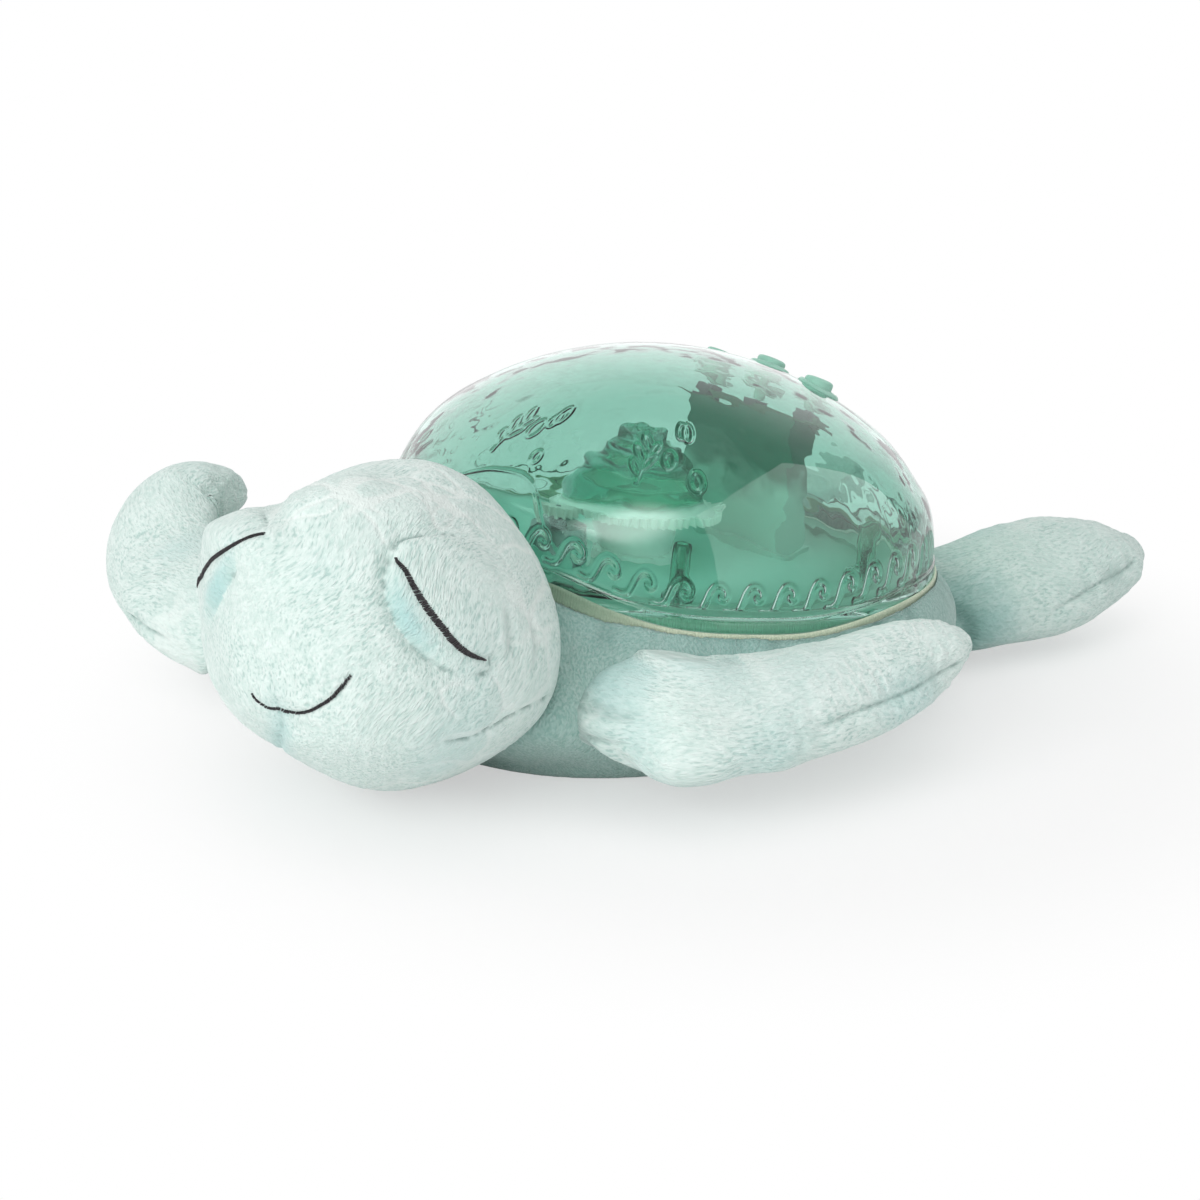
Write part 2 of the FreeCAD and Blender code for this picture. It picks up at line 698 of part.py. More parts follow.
# Push buttons, their board and switches
flange_top = -dome_wall - button_flange_drop
plunger_top = board_top + switch_height + plunger_height
stem_end = plunger_top + button_travel + 0.05
button_names = ("button_right", "button_middle", "button_left")
for name, x in zip(button_names, button_xs):
    drop = surface_drop(x)
    cap_top = -drop + button_pad + button_stand
    cap = disc(button_diameter / 2, -drop + flange_top, cap_top)
    round_edge = [e for e in cap.Edges if abs(e.CenterOfMass.z - cap_top) < 0.01]
    cap = cap.makeFillet(1.1, round_edge)
    skirt = disc(button_diameter / 2 + button_flange, -drop + flange_top - button_flange_thick,
                 -drop + flange_top)
    stem = disc(button_stem / 2, stem_end, -drop + flange_top)
    save(name, along_button(cap.fuse(skirt).fuse(stem), x), True)
board = round_block(-button_board_length / 2, button_board_length / 2, -button_board_width / 2,
                    button_board_width / 2, board_top - board_thick, board_top, 2)
save("button_board", along_button(board, 0), True)
board_middle = along_button(Part.Vertex(0, 0, board_top - board_thick), 0).Point
column_half = button_board_length / 2 - column_inset
column_y0 = board_middle.y - column_depth / 2
column_y1 = board_middle.y + column_depth / 2
column = block(-column_half, column_half, column_y0, column_y1, deck_top, button_y + dome_rise)
column_room = block(-column_half + column_wall, column_half - column_wall, column_y0 + column_wall,
                    column_y1 - column_wall, deck_top - 1, button_y + dome_rise + 1)
column_foot = round_block(-column_half - column_foot_margin, column_half + column_foot_margin,
                          column_y0 - column_foot_margin, column_y1 + column_foot_margin,
                          deck_top, deck_top + column_foot_thick, column_foot_margin)
above_board = block(-dome_radius, dome_radius, -dome_radius, dome_radius, board_top - board_thick,
                    board_top + dome_rise)
column = column.fuse(column_foot).cut(column_room).cut(along_button(above_board, 0))
save("button_column", main_solid(column), True)
switches = []
for x in button_xs:
    side = switch_side / 2
    can = block(x - side, x + side, -side, side, board_top, board_top + switch_height)
    tip = disc(plunger_diameter / 2, board_top + switch_height, plunger_top, x, 0)
    switches.append(along_button(can.fuse(tip), 0))
save("button_switches", Part.makeCompound(switches), True)

# Battery door, hinged at its front lower edge
door = block(-bay_half - door_overlap + seat_gap, bay_half + door_overlap - seat_gap,
             bay_front - door_overlap + seat_gap, bay_back + door_overlap - seat_gap,
             tray_bottom, tray_bottom + door_thick)
grip_back = bay_back - door_grip_inset
grip = block(-door_grip_width / 2, door_grip_width / 2, grip_back - door_grip_length, grip_back,
             tray_bottom - 1, tray_bottom + door_grip_depth)
save("battery_door", door.cut(grip), True)

# Collar band round the rim
band_low = -seat_gap - band_height
save("collar_band", ring(band_r, band_hole_r, band_low, -seat_gap), True)

# Stuffed body: a bowl about the tray, with the belly window in its floor
plush_top = band_low - seat_gap
level_wires = []
for z, lean, front, back, half in body_levels:
    place = FreeCAD.Placement(V(0, 0, z), FreeCAD.Rotation(V(1, 0, 0), -lean))
    level_wires.append(oval(half, half, back, front, place))
top_place = unit_place.multiply(FreeCAD.Placement(V(0, 0, plush_top), FreeCAD.Rotation()))
top_r = lip_r + 0.5
level_wires.append(oval(top_r, top_r, top_r, top_r, top_place))
full_body = Part.makeLoft(level_wires, True, False)
inner_top = tray_top - seat_gap
inner_ring = disc(band_hole_r - seat_gap, plush_top - 3, inner_top)
cavity = taper(tray_r1 + cavity_gap, tray_bottom, tray_r + cavity_gap, tray_top)
cavity = cavity.fuse(disc(tray_r1 + cavity_gap, tray_bottom - cavity_gap, tray_bottom))
body = full_body.fuse(to_ground_frame(inner_ring)).cut(to_ground_frame(cavity))
window = round_block(-window_half_width, window_half_width, window_front, window_back,
                     -2, rim_height - 10, window_corner)
recess = round_block(-window_half_width - recess_margin, window_half_width + recess_margin,
                     window_front - recess_margin, window_back + recess_margin,
                     -2, recess_depth, window_corner)
body = above_ground(body.cut(window).cut(recess))
body = main_solid(body)
save("plush_body", body)

# Belly flap in the recess, with the soft half of its closing tape
flap_top = flap_ground_gap + flap_thick
edge = recess_margin - flap_side_gap
flap = round_block(-window_half_width - edge, window_half_width + edge, window_front - edge,
                   window_back + edge, flap_ground_gap, flap_top - tape_thick / 2, window_corner)
flap_room = round_block(-window_half_width + 3, window_half_width - 3, window_back - tape_width,
                        window_back - 1, flap_top - tape_thick / 2, flap_top, 2)
save("belly_flap", flap)
save("loop_tape", flap_room)

# Head, flippers and tail, each cut by the larger forms
turned = math.radians(head_turn)
toward = V(math.sin(turned), -math.cos(turned), 0)
across = V(-math.cos(turned), -math.sin(turned), 0)
head_rows = []
for ahead, aside, w, up, down, z in head_levels:
    middle = V(head_x, head_y, 0) + toward * ahead + across * aside
    head_rows.append((middle.x, middle.y, z, w, up, down, 0.0))
head_form = stuffed(head_rows)
dome_room = disc(lip_r + seat_gap, plush_top - 2, dome_rise)
solid_body = full_body.fuse(to_ground_frame(dome_room))
head = above_ground(main_solid(head_form.cut(solid_body)))
save("head", head)
for name, levels, mirror in (("front_flipper_left", front_left_levels, 1),
                             ("front_flipper_right", front_right_levels, 1),
                             ("rear_flipper_left", rear_levels, 1),
                             ("rear_flipper_right", rear_levels, -1),
                             ("tail", tail_levels, 1)):
    form = flipper(levels, mirror).cut(solid_body).cut(head_form)
    form = above_ground(main_solid(form))
    save(name, main_solid(form))
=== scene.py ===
import bpy
import bmesh
import math
import numpy as np
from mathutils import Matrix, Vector
from mathutils.bvhtree import BVHTree

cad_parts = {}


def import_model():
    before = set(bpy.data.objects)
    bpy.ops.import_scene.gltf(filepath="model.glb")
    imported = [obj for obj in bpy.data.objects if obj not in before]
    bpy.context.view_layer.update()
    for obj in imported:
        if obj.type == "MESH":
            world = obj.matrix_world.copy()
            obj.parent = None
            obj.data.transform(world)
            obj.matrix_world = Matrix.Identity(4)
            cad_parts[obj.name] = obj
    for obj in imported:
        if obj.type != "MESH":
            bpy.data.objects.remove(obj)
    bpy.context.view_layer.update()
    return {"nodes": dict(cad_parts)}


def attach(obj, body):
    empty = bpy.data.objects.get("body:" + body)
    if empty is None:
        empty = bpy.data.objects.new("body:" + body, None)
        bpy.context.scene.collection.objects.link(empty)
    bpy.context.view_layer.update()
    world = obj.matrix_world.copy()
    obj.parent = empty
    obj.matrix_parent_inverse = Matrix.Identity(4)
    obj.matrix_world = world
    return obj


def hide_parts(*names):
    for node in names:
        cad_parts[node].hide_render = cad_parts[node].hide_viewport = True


# Looks of the stuffed sleeping turtle with a green light dome. Lengths are
# written in millimetres and turned to metres by MM; the head is at -Y.

MM = 0.001
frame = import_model()
nodes = frame["nodes"]
link = bpy.context.scene.collection.objects.link

# Sizes that the solids were built from
SHIFT = np.array([31.2, 7.7, 0.0])
RIM_HEIGHT = 51.0
PITCH = math.radians(8.0)
DOME_R, DOME_RISE, WALL = 98.4, 69.0, 2.5
LIP_H, LIP_STEP, LIP_FOOT, SKIRT_WALL = 3.0, 0.8, 6.0, 1.5
LIP_R = DOME_R + LIP_STEP
HEAD_AT = np.array([13.3, -137.0, 50.0]) + SHIFT
HEAD_TURN = math.radians(20.9)
POST_CIRCLE, POST_HEIGHT, POST_ANGLES = DOME_R - 23.4, 20.0, (-39.0, 34.0, 146.0, 219.0)

CHUNK = 20000  # points compared with a line at one time
PX_MM = 0.36  # millimetres to a pixel of the picture, at the head


# ---- camera
CAM_AT = np.array([910.8, -840.3, 475.3])
CAM_AIM = np.array([17.38, -7.12, 30.70])
FOCAL_PX = 3611.0
HALF_PX = 600.0


def camera():
    data = bpy.data.cameras.new("camera")
    data.sensor_width = 36.0
    data.lens = 36.0 * FOCAL_PX / (2 * HALF_PX)
    data.clip_start, data.clip_end = 0.05, 30
    cam = bpy.data.objects.new("camera", data)
    cam.location = Vector(CAM_AT * MM)
    cam.rotation_euler = Vector((CAM_AIM - CAM_AT)).to_track_quat("-Z", "Y").to_euler()
    link(cam)
    bpy.context.scene.camera = cam


camera()
AHEAD = (CAM_AIM - CAM_AT) / np.linalg.norm(CAM_AIM - CAM_AT)
RIGHT = np.cross(AHEAD, [0, 0, 1.0])
RIGHT /= np.linalg.norm(RIGHT)
UP = np.cross(RIGHT, AHEAD)


def pixel_ray(px, py):
    """Direction from the camera through a point of the 1200-pixel picture."""
    d = AHEAD + RIGHT * (px - HALF_PX) / FOCAL_PX - UP * (py - HALF_PX) / FOCAL_PX
    return d / np.linalg.norm(d)


def to_pixel(points):
    """Places of points in the 1200-pixel picture."""
    rel = points - CAM_AT
    deep = rel @ AHEAD
    return np.stack([HALF_PX + FOCAL_PX * (rel @ RIGHT) / deep,
                     HALF_PX - FOCAL_PX * (rel @ UP) / deep], 1)


# ---- numbers
def hashed(i, j, k, seed):
    h = (i * 374761393 + j * 668265263 + k * 1442695041 + seed * 974711) & 0xFFFFFFFF
    h = ((h ^ (h >> 13)) * 1274126177) & 0xFFFFFFFF
    h = ((h ^ (h >> 16)) * 2246822519) & 0xFFFFFFFF
    return ((h >> 8) & 0xFFFF) / 65535.0


def lumps(points, size, seed=0):
    """Smooth value noise between -1 and 1, with lumps about size millimetres wide."""
    q = points / size
    base = np.floor(q).astype(np.int64)
    f = q - base
    f = f * f * f * (f * (f * 6 - 15) + 10)
    total = np.zeros(len(points))
    for dx, dy, dz in np.ndindex(2, 2, 2):
        part = (f[:, 0] if dx else 1 - f[:, 0]) * (f[:, 1] if dy else 1 - f[:, 1])
        part = part * (f[:, 2] if dz else 1 - f[:, 2])
        total += part * hashed(base[:, 0] + dx, base[:, 1] + dy, base[:, 2] + dz, seed)
    return total * 2 - 1


def swirl(points, amount, size, seed):
    """Slow drift of places, up to amount millimetres each way."""
    return np.stack([lumps(points, size, seed + k) for k in range(3)], 1) * amount


def cell_edges(points, size, seed=0):
    """How far each point is from the nearest border between cells, in millimetres."""
    q = points / size
    base = np.floor(q).astype(np.int64)
    first = np.full(len(points), 9.0)
    second = np.full(len(points), 9.0)
    for step in np.ndindex(3, 3, 3):
        c = base + np.array(step) - 1
        at = np.stack([c[:, a] + 0.15 + 0.7 * hashed(*c.T, seed + a) for a in range(3)], 1)
        d = np.linalg.norm(q - at, axis=1)
        second = np.minimum(second, np.maximum(first, d))
        first = np.minimum(first, d)
    return (second - first) * 0.5 * size


def ramp(x, low, high):
    t = np.clip((x - low) / (high - low), 0, 1)
    return t * t * (3 - 2 * t)


def bell(d, width):
    return np.exp(-(d / width) ** 2)


def smooth_line(points, step):
    """Evenly spaced points on a Catmull-Rom curve through the given ones."""
    p = np.array(points, float)
    p = np.vstack([2 * p[0] - p[1], p, 2 * p[-1] - p[-2]])
    out = []
    for k in range(1, len(p) - 2):
        a, b, c, d = p[k - 1:k + 3]
        count = max(2, int(np.linalg.norm(c - b) / step))
        for t in np.linspace(0, 1, count, endpoint=False):
            out.append(0.5 * (2 * b + (c - a) * t + (2 * a - 5 * b + 4 * c - d) * t * t
                              + (3 * b - a - 3 * c + d) * t ** 3))
    out.append(p[-2])
    return np.array(out)


def line_distance(points, line, reach):
    """Distance to a dense line, and the share of its length at the nearest point."""
    dist = np.full(len(points), 1e3)
    share = np.zeros(len(points))
    low, high = line.min(0) - reach, line.max(0) + reach
    near = np.where(np.all((points >= low) & (points <= high), axis=1))[0]
    for start in range(0, len(near), CHUNK):
        idx = near[start:start + CHUNK]
        gap = np.linalg.norm(points[idx][:, None, :] - line[None], axis=2)
        best = gap.argmin(1)
        dist[idx] = gap[np.arange(len(idx)), best]
        share[idx] = best / (len(line) - 1)
    return dist, share


def unit_to_ground(p):
    c, s = math.cos(PITCH), math.sin(PITCH)
    x, y, z = p[:, 0], p[:, 1], p[:, 2]
    return np.stack([x + SHIFT[0], y * c + z * s + SHIFT[1], -y * s + z * c + RIM_HEIGHT], 1)


# ---- meshes
def smooth(me):
    me.polygons.foreach_set("use_smooth", [True] * len(me.polygons))


def mesh_object(name, verts, faces):
    me = bpy.data.meshes.new(name)
    me.from_pydata((np.asarray(verts) * MM).tolist(), [], faces)
    me.validate()
    smooth(me)
    ob = bpy.data.objects.new(name, me)
    link(ob)
    return ob


def ring(r, z, ang):
    """Points round the z axis at the given angles."""
    return np.stack([r * np.cos(ang), r * np.sin(ang), np.broadcast_to(z, ang.shape)], 1)


def tube_faces(rows, around, first=0, wrap=False, flip=False):
    """Quads between rings of points, and from the last ring to the first with wrap."""
    i = np.arange(around)
    j = (i + 1) % around
    faces = []
    for k in range(rows if wrap else rows - 1):
        a, b = first + k * around, first + (k + 1) % rows * around
        quads = (a + i, a + j, b + j, b + i) if flip else (a + i, b + i, b + j, a + j)
        faces.extend(np.stack(quads, 1).tolist())
    return faces


def closed_faces(rows, around):
    """A tube closed by fans from two more points to its first and last ring."""
    i = np.arange(around)
    j = (i + 1) % around
    last = (rows - 1) * around
    fans = ((np.full(around, rows * around), i, j), (np.full(around, rows * around + 1), last + j, last + i))
    return tube_faces(rows, around) + [face for fan in fans for face in np.stack(fan, 1).tolist()]


def coords(ob):
    out = np.empty(len(ob.data.vertices) * 3)
    ob.data.vertices.foreach_get("co", out)
    return out.reshape(-1, 3) / MM


def normals(ob):
    out = np.empty(len(ob.data.vertices) * 3)
    ob.data.vertex_normals.foreach_get("vector", out)
    return out.reshape(-1, 3)


def set_coords(ob, points):
    ob.data.vertices.foreach_set("co", (points * MM).ravel())
    ob.data.update()


def store(ob, name, values):
    kind = "FLOAT_VECTOR" if values.ndim == 2 else "FLOAT"
    at = ob.data.attributes.new(name, kind, "POINT")
    at.data.foreach_set("vector" if values.ndim == 2 else "value", values.astype(np.float32).ravel())


def apply_modifiers(ob):
    graph = bpy.context.evaluated_depsgraph_get()
    me = bpy.data.meshes.new_from_object(ob.evaluated_get(graph))
    ob.modifiers.clear()
    ob.data = me
    smooth(me)


def weld(ob):
    bm = bmesh.new()
    bm.from_mesh(ob.data)
    bmesh.ops.remove_doubles(bm, verts=bm.verts, dist=2e-6)
    bm.to_mesh(ob.data)
    bm.free()


def dense(name, node, voxel):
    """A fine even mesh over a solid's form, ready to be worked as cloth."""
    ob = bpy.data.objects.new(name, nodes[node].data.copy())
    link(ob)
    ob.data.materials.clear()
    weld(ob)
    m = ob.modifiers.new("even", "REMESH")
    m.mode = "VOXEL"
    m.voxel_size = voxel * 1.0 * MM
    s = ob.modifiers.new("soften", "SMOOTH")
    s.factor, s.iterations = 0.5, 6
    apply_modifiers(ob)
    return ob


# ---- materials
def rgb(r, g, b):
    out = []
    for v in (r, g, b):
        v /= 255.0
        out.append(v / 12.92 if v <= 0.04045 else ((v + 0.055) / 1.055) ** 2.4)
    return (*out, 1.0)


class Paint:
    """A node material round one Principled shader."""

    def __init__(self, name, **values):
        self.mat = bpy.data.materials.new(name)
        self.mat.use_nodes = True
        self.tree = self.mat.node_tree
        self.shader = self.tree.nodes["Principled BSDF"]
        self.set(**values)

    def node(self, kind, **values):
        n = self.tree.nodes.new("ShaderNode" + kind)
        for key, value in values.items():
            setattr(n, key, value)
        return n

    def put(self, socket, value):
        if isinstance(value, bpy.types.NodeSocket):
            self.tree.links.new(value, socket)
        else:
            socket.default_value = value

    def fill(self, n, **values):
        """Give a node's inputs their sockets or values, and return its first output."""
        for key, value in values.items():
            self.put(n.inputs[key.replace("_", " ")], value)
        return n.outputs[0]

    def set(self, **values):
        self.fill(self.shader, **values)

    def attribute(self, name, kind="Fac"):
        return self.node("Attribute", attribute_name=name).outputs[kind]

    def where(self):
        return self.node("TexCoord").outputs["Object"]

    def place(self, kind, other):
        """The place worked with a fixed vector: MULTIPLY, DISTANCE or DOT_PRODUCT."""
        n = self.node("VectorMath", operation=kind)
        self.put(n.inputs[0], self.where())
        n.inputs[1].default_value = other
        return n.outputs["Vector" if kind == "MULTIPLY" else "Value"]

    def noise(self, scale, detail=3.0, rough=0.55, distort=0.0, at=None):
        n = self.node("TexNoise")
        self.fill(n, Vector=self.where() if at is None else at, Scale=scale, Detail=detail,
                  Roughness=rough, Distortion=distort)
        return n.outputs["Fac"]

    def math(self, kind, a, b):
        n = self.node("Math", operation=kind)
        self.put(n.inputs[0], a)
        self.put(n.inputs[1], b)
        return n.outputs[0]

    def span(self, value, a, b, low=0.0, high=1.0):
        n = self.node("MapRange", interpolation_type="SMOOTHSTEP")
        self.fill(n, Value=value, From_Min=a, From_Max=b, To_Min=low, To_Max=high)
        return n.outputs["Result"]

    def mix(self, fac, a, b):
        n = self.node("Mix", data_type="RGBA")
        self.fill(n, Factor=fac, A=a, B=b)
        return n.outputs["Result"]

    def bump(self, height, strength, distance):
        return self.fill(self.node("Bump"), Strength=strength, Distance=distance * MM, Height=height)

    def rubbed(self, low, high):
        """Roughness that wanders between two values, as on a handled face."""
        self.set(Roughness=self.span(self.noise(220.0, 4.0, 0.6), 0.25, 0.75, low, high))

    def blend(self, fac, a, b):
        """Two shaders mixed by a factor."""
        n = self.node("MixShader")
        for socket, source in zip(n.inputs, (fac, a, b)):
            self.put(socket, source)
        return n.outputs[0]

    def surface(self, shader):
        self.put(self.tree.nodes["Material Output"].inputs["Surface"], shader)
        return self.mat

    def passing(self, shader, shade):
        """A clear surface that lets the lamps' light through, tinted by shade."""
        through = self.fill(self.node("BsdfTransparent"), Color=rgb(*shade))
        lamps = self.node("LightPath").outputs["Is Shadow Ray"]
        return self.surface(self.blend(lamps, shader, through))


def plush_paint():
    """Pale pile with darker strokes, coloured by the attributes that finish_plush stores, painted shade among
    them.
    """
    p = Paint("plush", Roughness=0.92, Sheen_Weight=0.3, Sheen_Roughness=0.5, Specular_IOR_Level=0.1)
    pile = p.attribute("pile", "Vector")
    fine = p.noise(1.05, 1.4, 0.5, 0.35, pile)
    tuft = p.noise(0.28, 2.0, 0.5, 0.4, pile)
    patch = p.noise(38.0, 2.0, 0.5)
    strokes = p.math("MULTIPLY", p.span(fine, 0.50, 0.30), p.span(patch, 0.34, 0.62, 0.25, 1.0))
    base = p.mix(p.span(tuft, 0.3, 0.7), rgb(212, 231, 225), rgb(225, 240, 235))
    # Over the base: pale pile tips, dark strokes, pale embossed lines, a teal tone that is partly painted
    # shade, painted shade, and dark seam lines with painted shade in creases and folds
    for mask, share, colour in (
            (p.span(fine, 0.52, 0.70), 0.5, (238, 248, 245)),
            (strokes, 0.62, (160, 194, 187)),
            (p.attribute("emboss"), 0.85, (238, 247, 243)),
            (p.attribute("teal_tone_and_shade"), 0.75, (168, 212, 210)),
            (p.attribute("shade"), p.span(fine, 0.3, 0.7, 0.95, 0.7), (130, 171, 162)),
            (p.attribute("seam_and_crease_shade"), 0.85, (92, 128, 122))):
        base = p.mix(p.math("MULTIPLY", mask, share), base, rgb(*colour))
    height = p.math("ADD", fine, p.math("MULTIPLY", tuft, 0.6))
    p.set(Base_Color=base, Normal=p.bump(height, 0.9, 0.9))
    return p.mat


def simple_paint(name, colour, rough, metal=0.0, grain=0.0):
    """Moulded or metal finish: a little colour drift, rubbed roughness and fine grain."""
    p = Paint(name, Metallic=metal)
    c = rgb(*colour)[:3]
    dark, light = ((*(min(1.0, v * k) for v in c), 1.0) for k in (0.94, 1.06))
    p.set(Base_Color=p.mix(p.span(p.noise(44.0), 0.3, 0.7), dark, light))
    p.rubbed(rough - 0.08, min(1, rough + 0.08))
    if grain:
        p.set(Normal=p.bump(p.noise(1980.0, 2.0), 0.5, grain))
    return p.mat


def clear_base(name, colour, rough):
    """Clear tinted plastic with a faintly uneven face."""
    p = Paint(name, Base_Color=rgb(*colour), Roughness=rough, IOR=1.49, Transmission_Weight=1.0)
    p.set(Normal=p.bump(p.noise(60.0, 2.0), 0.15, 0.2))
    return p


def clear_paint(name, colour, shade, rough):
    """Clear tinted plastic that lets the lamps reach what is behind it."""
    p = clear_base(name, colour, rough)
    return p.passing(p.shader.outputs[0], shade)


PLUSH = plush_paint()


def paint(ob, mat):
    ob.data.materials.clear()
    ob.data.materials.append(mat)


# ---- flippers and tail
CLUMP = 1.9  # width of a clump of pile
SEAM_REACH, SEWN_REACH = 30.0, 40.0  # how far a seen seam, and a sewn root, work on the cloth
# x, y, height, half width, half thickness, roll of each level
FRONT_LEFT = [
    (52, -84, 34, 16, 13, 18), (75, -83, 33, 23, 16, 20), (94, -73, 31, 27.5, 18, 22),
    (106, -46, 33.5, 25.5, 16, 22), (114, -9, 37, 20.5, 13, 22), (119, 13, 38.5, 16.5, 10.5, 20),
    (121, 24, 39.5, 12.8, 8.5, 20), (121.5, 29.5, 40, 8.6, 6, 20)]
FRONT_RIGHT = [
    (-58, -88, 26, 18, 14, -14), (-88, -105, 25, 25, 16, -16), (-117, -112, 25, 27, 17, -20),
    (-146, -106, 28.5, 24.5, 15.6, -29.4), (-170, -92, 35.5, 24.5, 15.5, -36),
    (-176.5, -77, 40, 22.6, 14.5, -40), (-175.5, -66, 41, 19, 13, -41), (-172.5, -58, 41.5, 13.5, 10.5, -40),
    (-171, -54.5, 42, 9.5, 8, -38)]
REAR = [
    (44, 78, 21, 20, 13, 14), (54, 104, 20.5, 25, 14, 18), (61, 129, 22.5, 28, 14.5, 20),
    (65, 149, 24.5, 26, 13.5, 20), (68, 165, 25.5, 20, 11, 20), (69, 176, 25, 13.5, 8, 18),
    (69.5, 181.5, 25, 8.6, 5.5, 18)]
TAIL = [(0, 96, 16, 15, 10, 0), (0, 116, 12.5, 12, 8.5, 0), (0, 130, 10, 7.5, 5.5, 0), (0, 137, 9, 2.5, 2, 0)]


def limb_frame(levels, mirror):
    """Dense middle line of a limb with its side and lift directions and half sizes."""
    rows = np.array([(mirror * x, y, z, w, t, mirror * r) for x, y, z, w, t, r in levels])
    fine = smooth_line(rows, 1.0)
    mid = fine[:, :3] + SHIFT
    ahead = np.gradient(mid, axis=0)
    ahead /= np.linalg.norm(ahead, axis=1)[:, None]
    side = np.cross(ahead, [0, 0, 1.0])
    side /= np.linalg.norm(side, axis=1)[:, None]
    lift = np.cross(side, ahead)
    roll = np.radians(fine[:, 5])[:, None]
    side2 = side * np.cos(roll) + np.cross(ahead, side) * np.sin(roll)
    lift2 = lift * np.cos(roll) + np.cross(ahead, lift) * np.sin(roll)
    along = np.concatenate([[0], np.cumsum(np.linalg.norm(np.diff(mid, axis=0), axis=1))])
    return {"mid": mid, "side": side2, "lift": lift2, "w": fine[:, 3], "t": fine[:, 4], "along": along}


def limb_mesh(name, lf, step, around):
    """Closed skin round a limb's middle line, with its own lengthwise and round places."""
    end = lf["along"][-1]
    cap = 4.0
    over_tip = end + cap * np.sin(np.linspace(0, math.pi / 2, 7))[:-1]
    places = np.concatenate([np.arange(0, end, step), over_tip])
    at = np.clip(places, 0, end)
    thin = np.sqrt(1 - np.clip((places - end) / cap, 0, 1) ** 2)

    def along(key):
        v = lf[key]
        if v.ndim == 1:
            return np.interp(at, lf["along"], v)
        return np.stack([np.interp(at, lf["along"], v[:, k]) for k in range(3)], 1)
    mid, side, lift, w, t = (along(k) for k in ("mid", "side", "lift", "w", "t"))
    ahead = np.cross(lift, side)
    mid = mid + ahead * (places - at)[:, None]
    ang = np.arange(around) * 2 * math.pi / around
    # more points near the two edges, where the seam runs
    ang = ang - 0.22 * np.sin(2 * ang)
    ca, sa = np.cos(ang), np.sin(ang)
    verts = (mid[:, None] + side[:, None] * (w * thin)[:, None, None] * ca[None, :, None]
             + lift[:, None] * (t * thin)[:, None, None] * sa[None, :, None])
    rows = len(places)
    flat = np.vstack([verts.reshape(-1, 3), mid[:1], mid[-1:] + ahead[-1:] * 0.3])
    ob = mesh_object(name, flat, closed_faces(rows, around))
    s = np.append(np.repeat(places, around), [0, places[-1]])
    u = np.append(np.outer(w * thin, ca), [0, 0])
    v = np.append(np.outer(t * thin, sa), [0, 0])
    return ob, s, u, v, np.append(np.repeat(w, around), [w[0], w[-1]]), np.append(np.tile(ang, rows), [0, 0])


def finish_plush(ob, move, seam_and_crease_shade, teal_tone_and_shade, emboss, pile, node, shade=0.0):
    """Move a stuffed piece's skin, store what its paint reads, attach it to the turtle and hide its solid."""
    set_coords(ob, coords(ob) + move)
    # The stored colour attributes: dark seam lines with painted shade in creases, a teal tone that is partly
    # painted shade, pale embossed lines, and painted shade
    shade = np.broadcast_to(shade, len(move))
    for name, values in (("seam_and_crease_shade", seam_and_crease_shade), ("teal_tone_and_shade", teal_tone_and_shade), ("emboss", emboss), ("shade", shade)):
        store(ob, name, np.clip(values, 0, 1))
    store(ob, "pile", pile)
    paint(ob, PLUSH)
    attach(ob, "turtle")
    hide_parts(node)


def mesh_tree(*obs):
    bm = bmesh.new()
    for ob in obs:
        bm.from_mesh(ob.data)
    tree = BVHTree.FromBMesh(bm)
    bm.free()
    return tree


def tree_gap(tree, points, reach):
    """Distance from each point to a surface, capped at reach."""
    out = np.full(len(points), reach)
    for k, q in enumerate(points * MM):
        at, n, i, d = tree.find_nearest(Vector(q), reach * MM)
        if at is not None:
            out[k] = d / MM
    return out


def settle(tree, points):
    """Nearest places on a surface, and its normals there."""
    hits = [tree.find_nearest(Vector(q * MM)) for q in points]
    return np.array([h[0] for h in hits]) / MM, np.array([h[1] for h in hits])


def project(tree, pixels, step=0.6):
    """Points of the picture dropped onto a surface, as one smooth line."""
    hits = []
    for px, py in pixels:
        ray = Vector(pixel_ray(px, py))
        at = tree.ray_cast(Vector(CAM_AT * MM), ray)[0]
        if at is None:
            middle = Vector(CAM_AT * MM) + ray * np.linalg.norm(CAM_AIM - CAM_AT) * MM
            at = tree.find_nearest(middle)[0]
        hits.append(np.array(at) / MM)
    return settle(tree, smooth_line(hits, step))[0]


def fit_outline(points, outline, middle, counted=None, weight=1.0):
    """Move points square to the view so that their outline in the picture follows the given one.

    Only the counted points make up the outline that is compared.
    """
    def radii(offsets):
        return np.arctan2(offsets[:, 1], offsets[:, 0]), np.hypot(offsets[:, 0], offsets[:, 1])
    rel = to_pixel(points) - middle
    ang, r = radii(rel)
    bins = 180
    at = ((ang + math.pi) / (2 * math.pi) * bins).astype(int) % bins
    now = np.zeros(bins)
    use = np.ones(len(r), bool) if counted is None else counted
    np.maximum.at(now, at[use], r[use])
    filled = np.where(now > 0)[0]
    now = np.interp(np.arange(bins), filled, now[filled], period=bins)
    wanted_ang, wanted_r = radii(smooth_line(outline + outline[:1], 3.0) - middle)
    order = np.argsort(wanted_ang)
    centres = (np.arange(bins) + 0.5) / bins * 2 * math.pi - math.pi
    wanted = np.interp(centres, wanted_ang[order], wanted_r[order], period=2 * math.pi)
    scale = wanted / now
    for _ in range(2):
        scale = (np.roll(scale, 1) + 2 * scale + np.roll(scale, -1)) / 4
    grow = np.interp(ang, centres, scale, period=2 * math.pi) - 1
    grow = weight * grow * ramp(r / np.interp(ang, centres, now, period=2 * math.pi), 0.3, 0.9)
    deep = (points - CAM_AT) @ AHEAD / FOCAL_PX
    return points + RIGHT * (rel[:, 0] * grow * deep)[:, None] - UP * (rel[:, 1] * grow * deep)[:, None]


CARRIER = mesh_tree(nodes["plush_body"], nodes["head"])


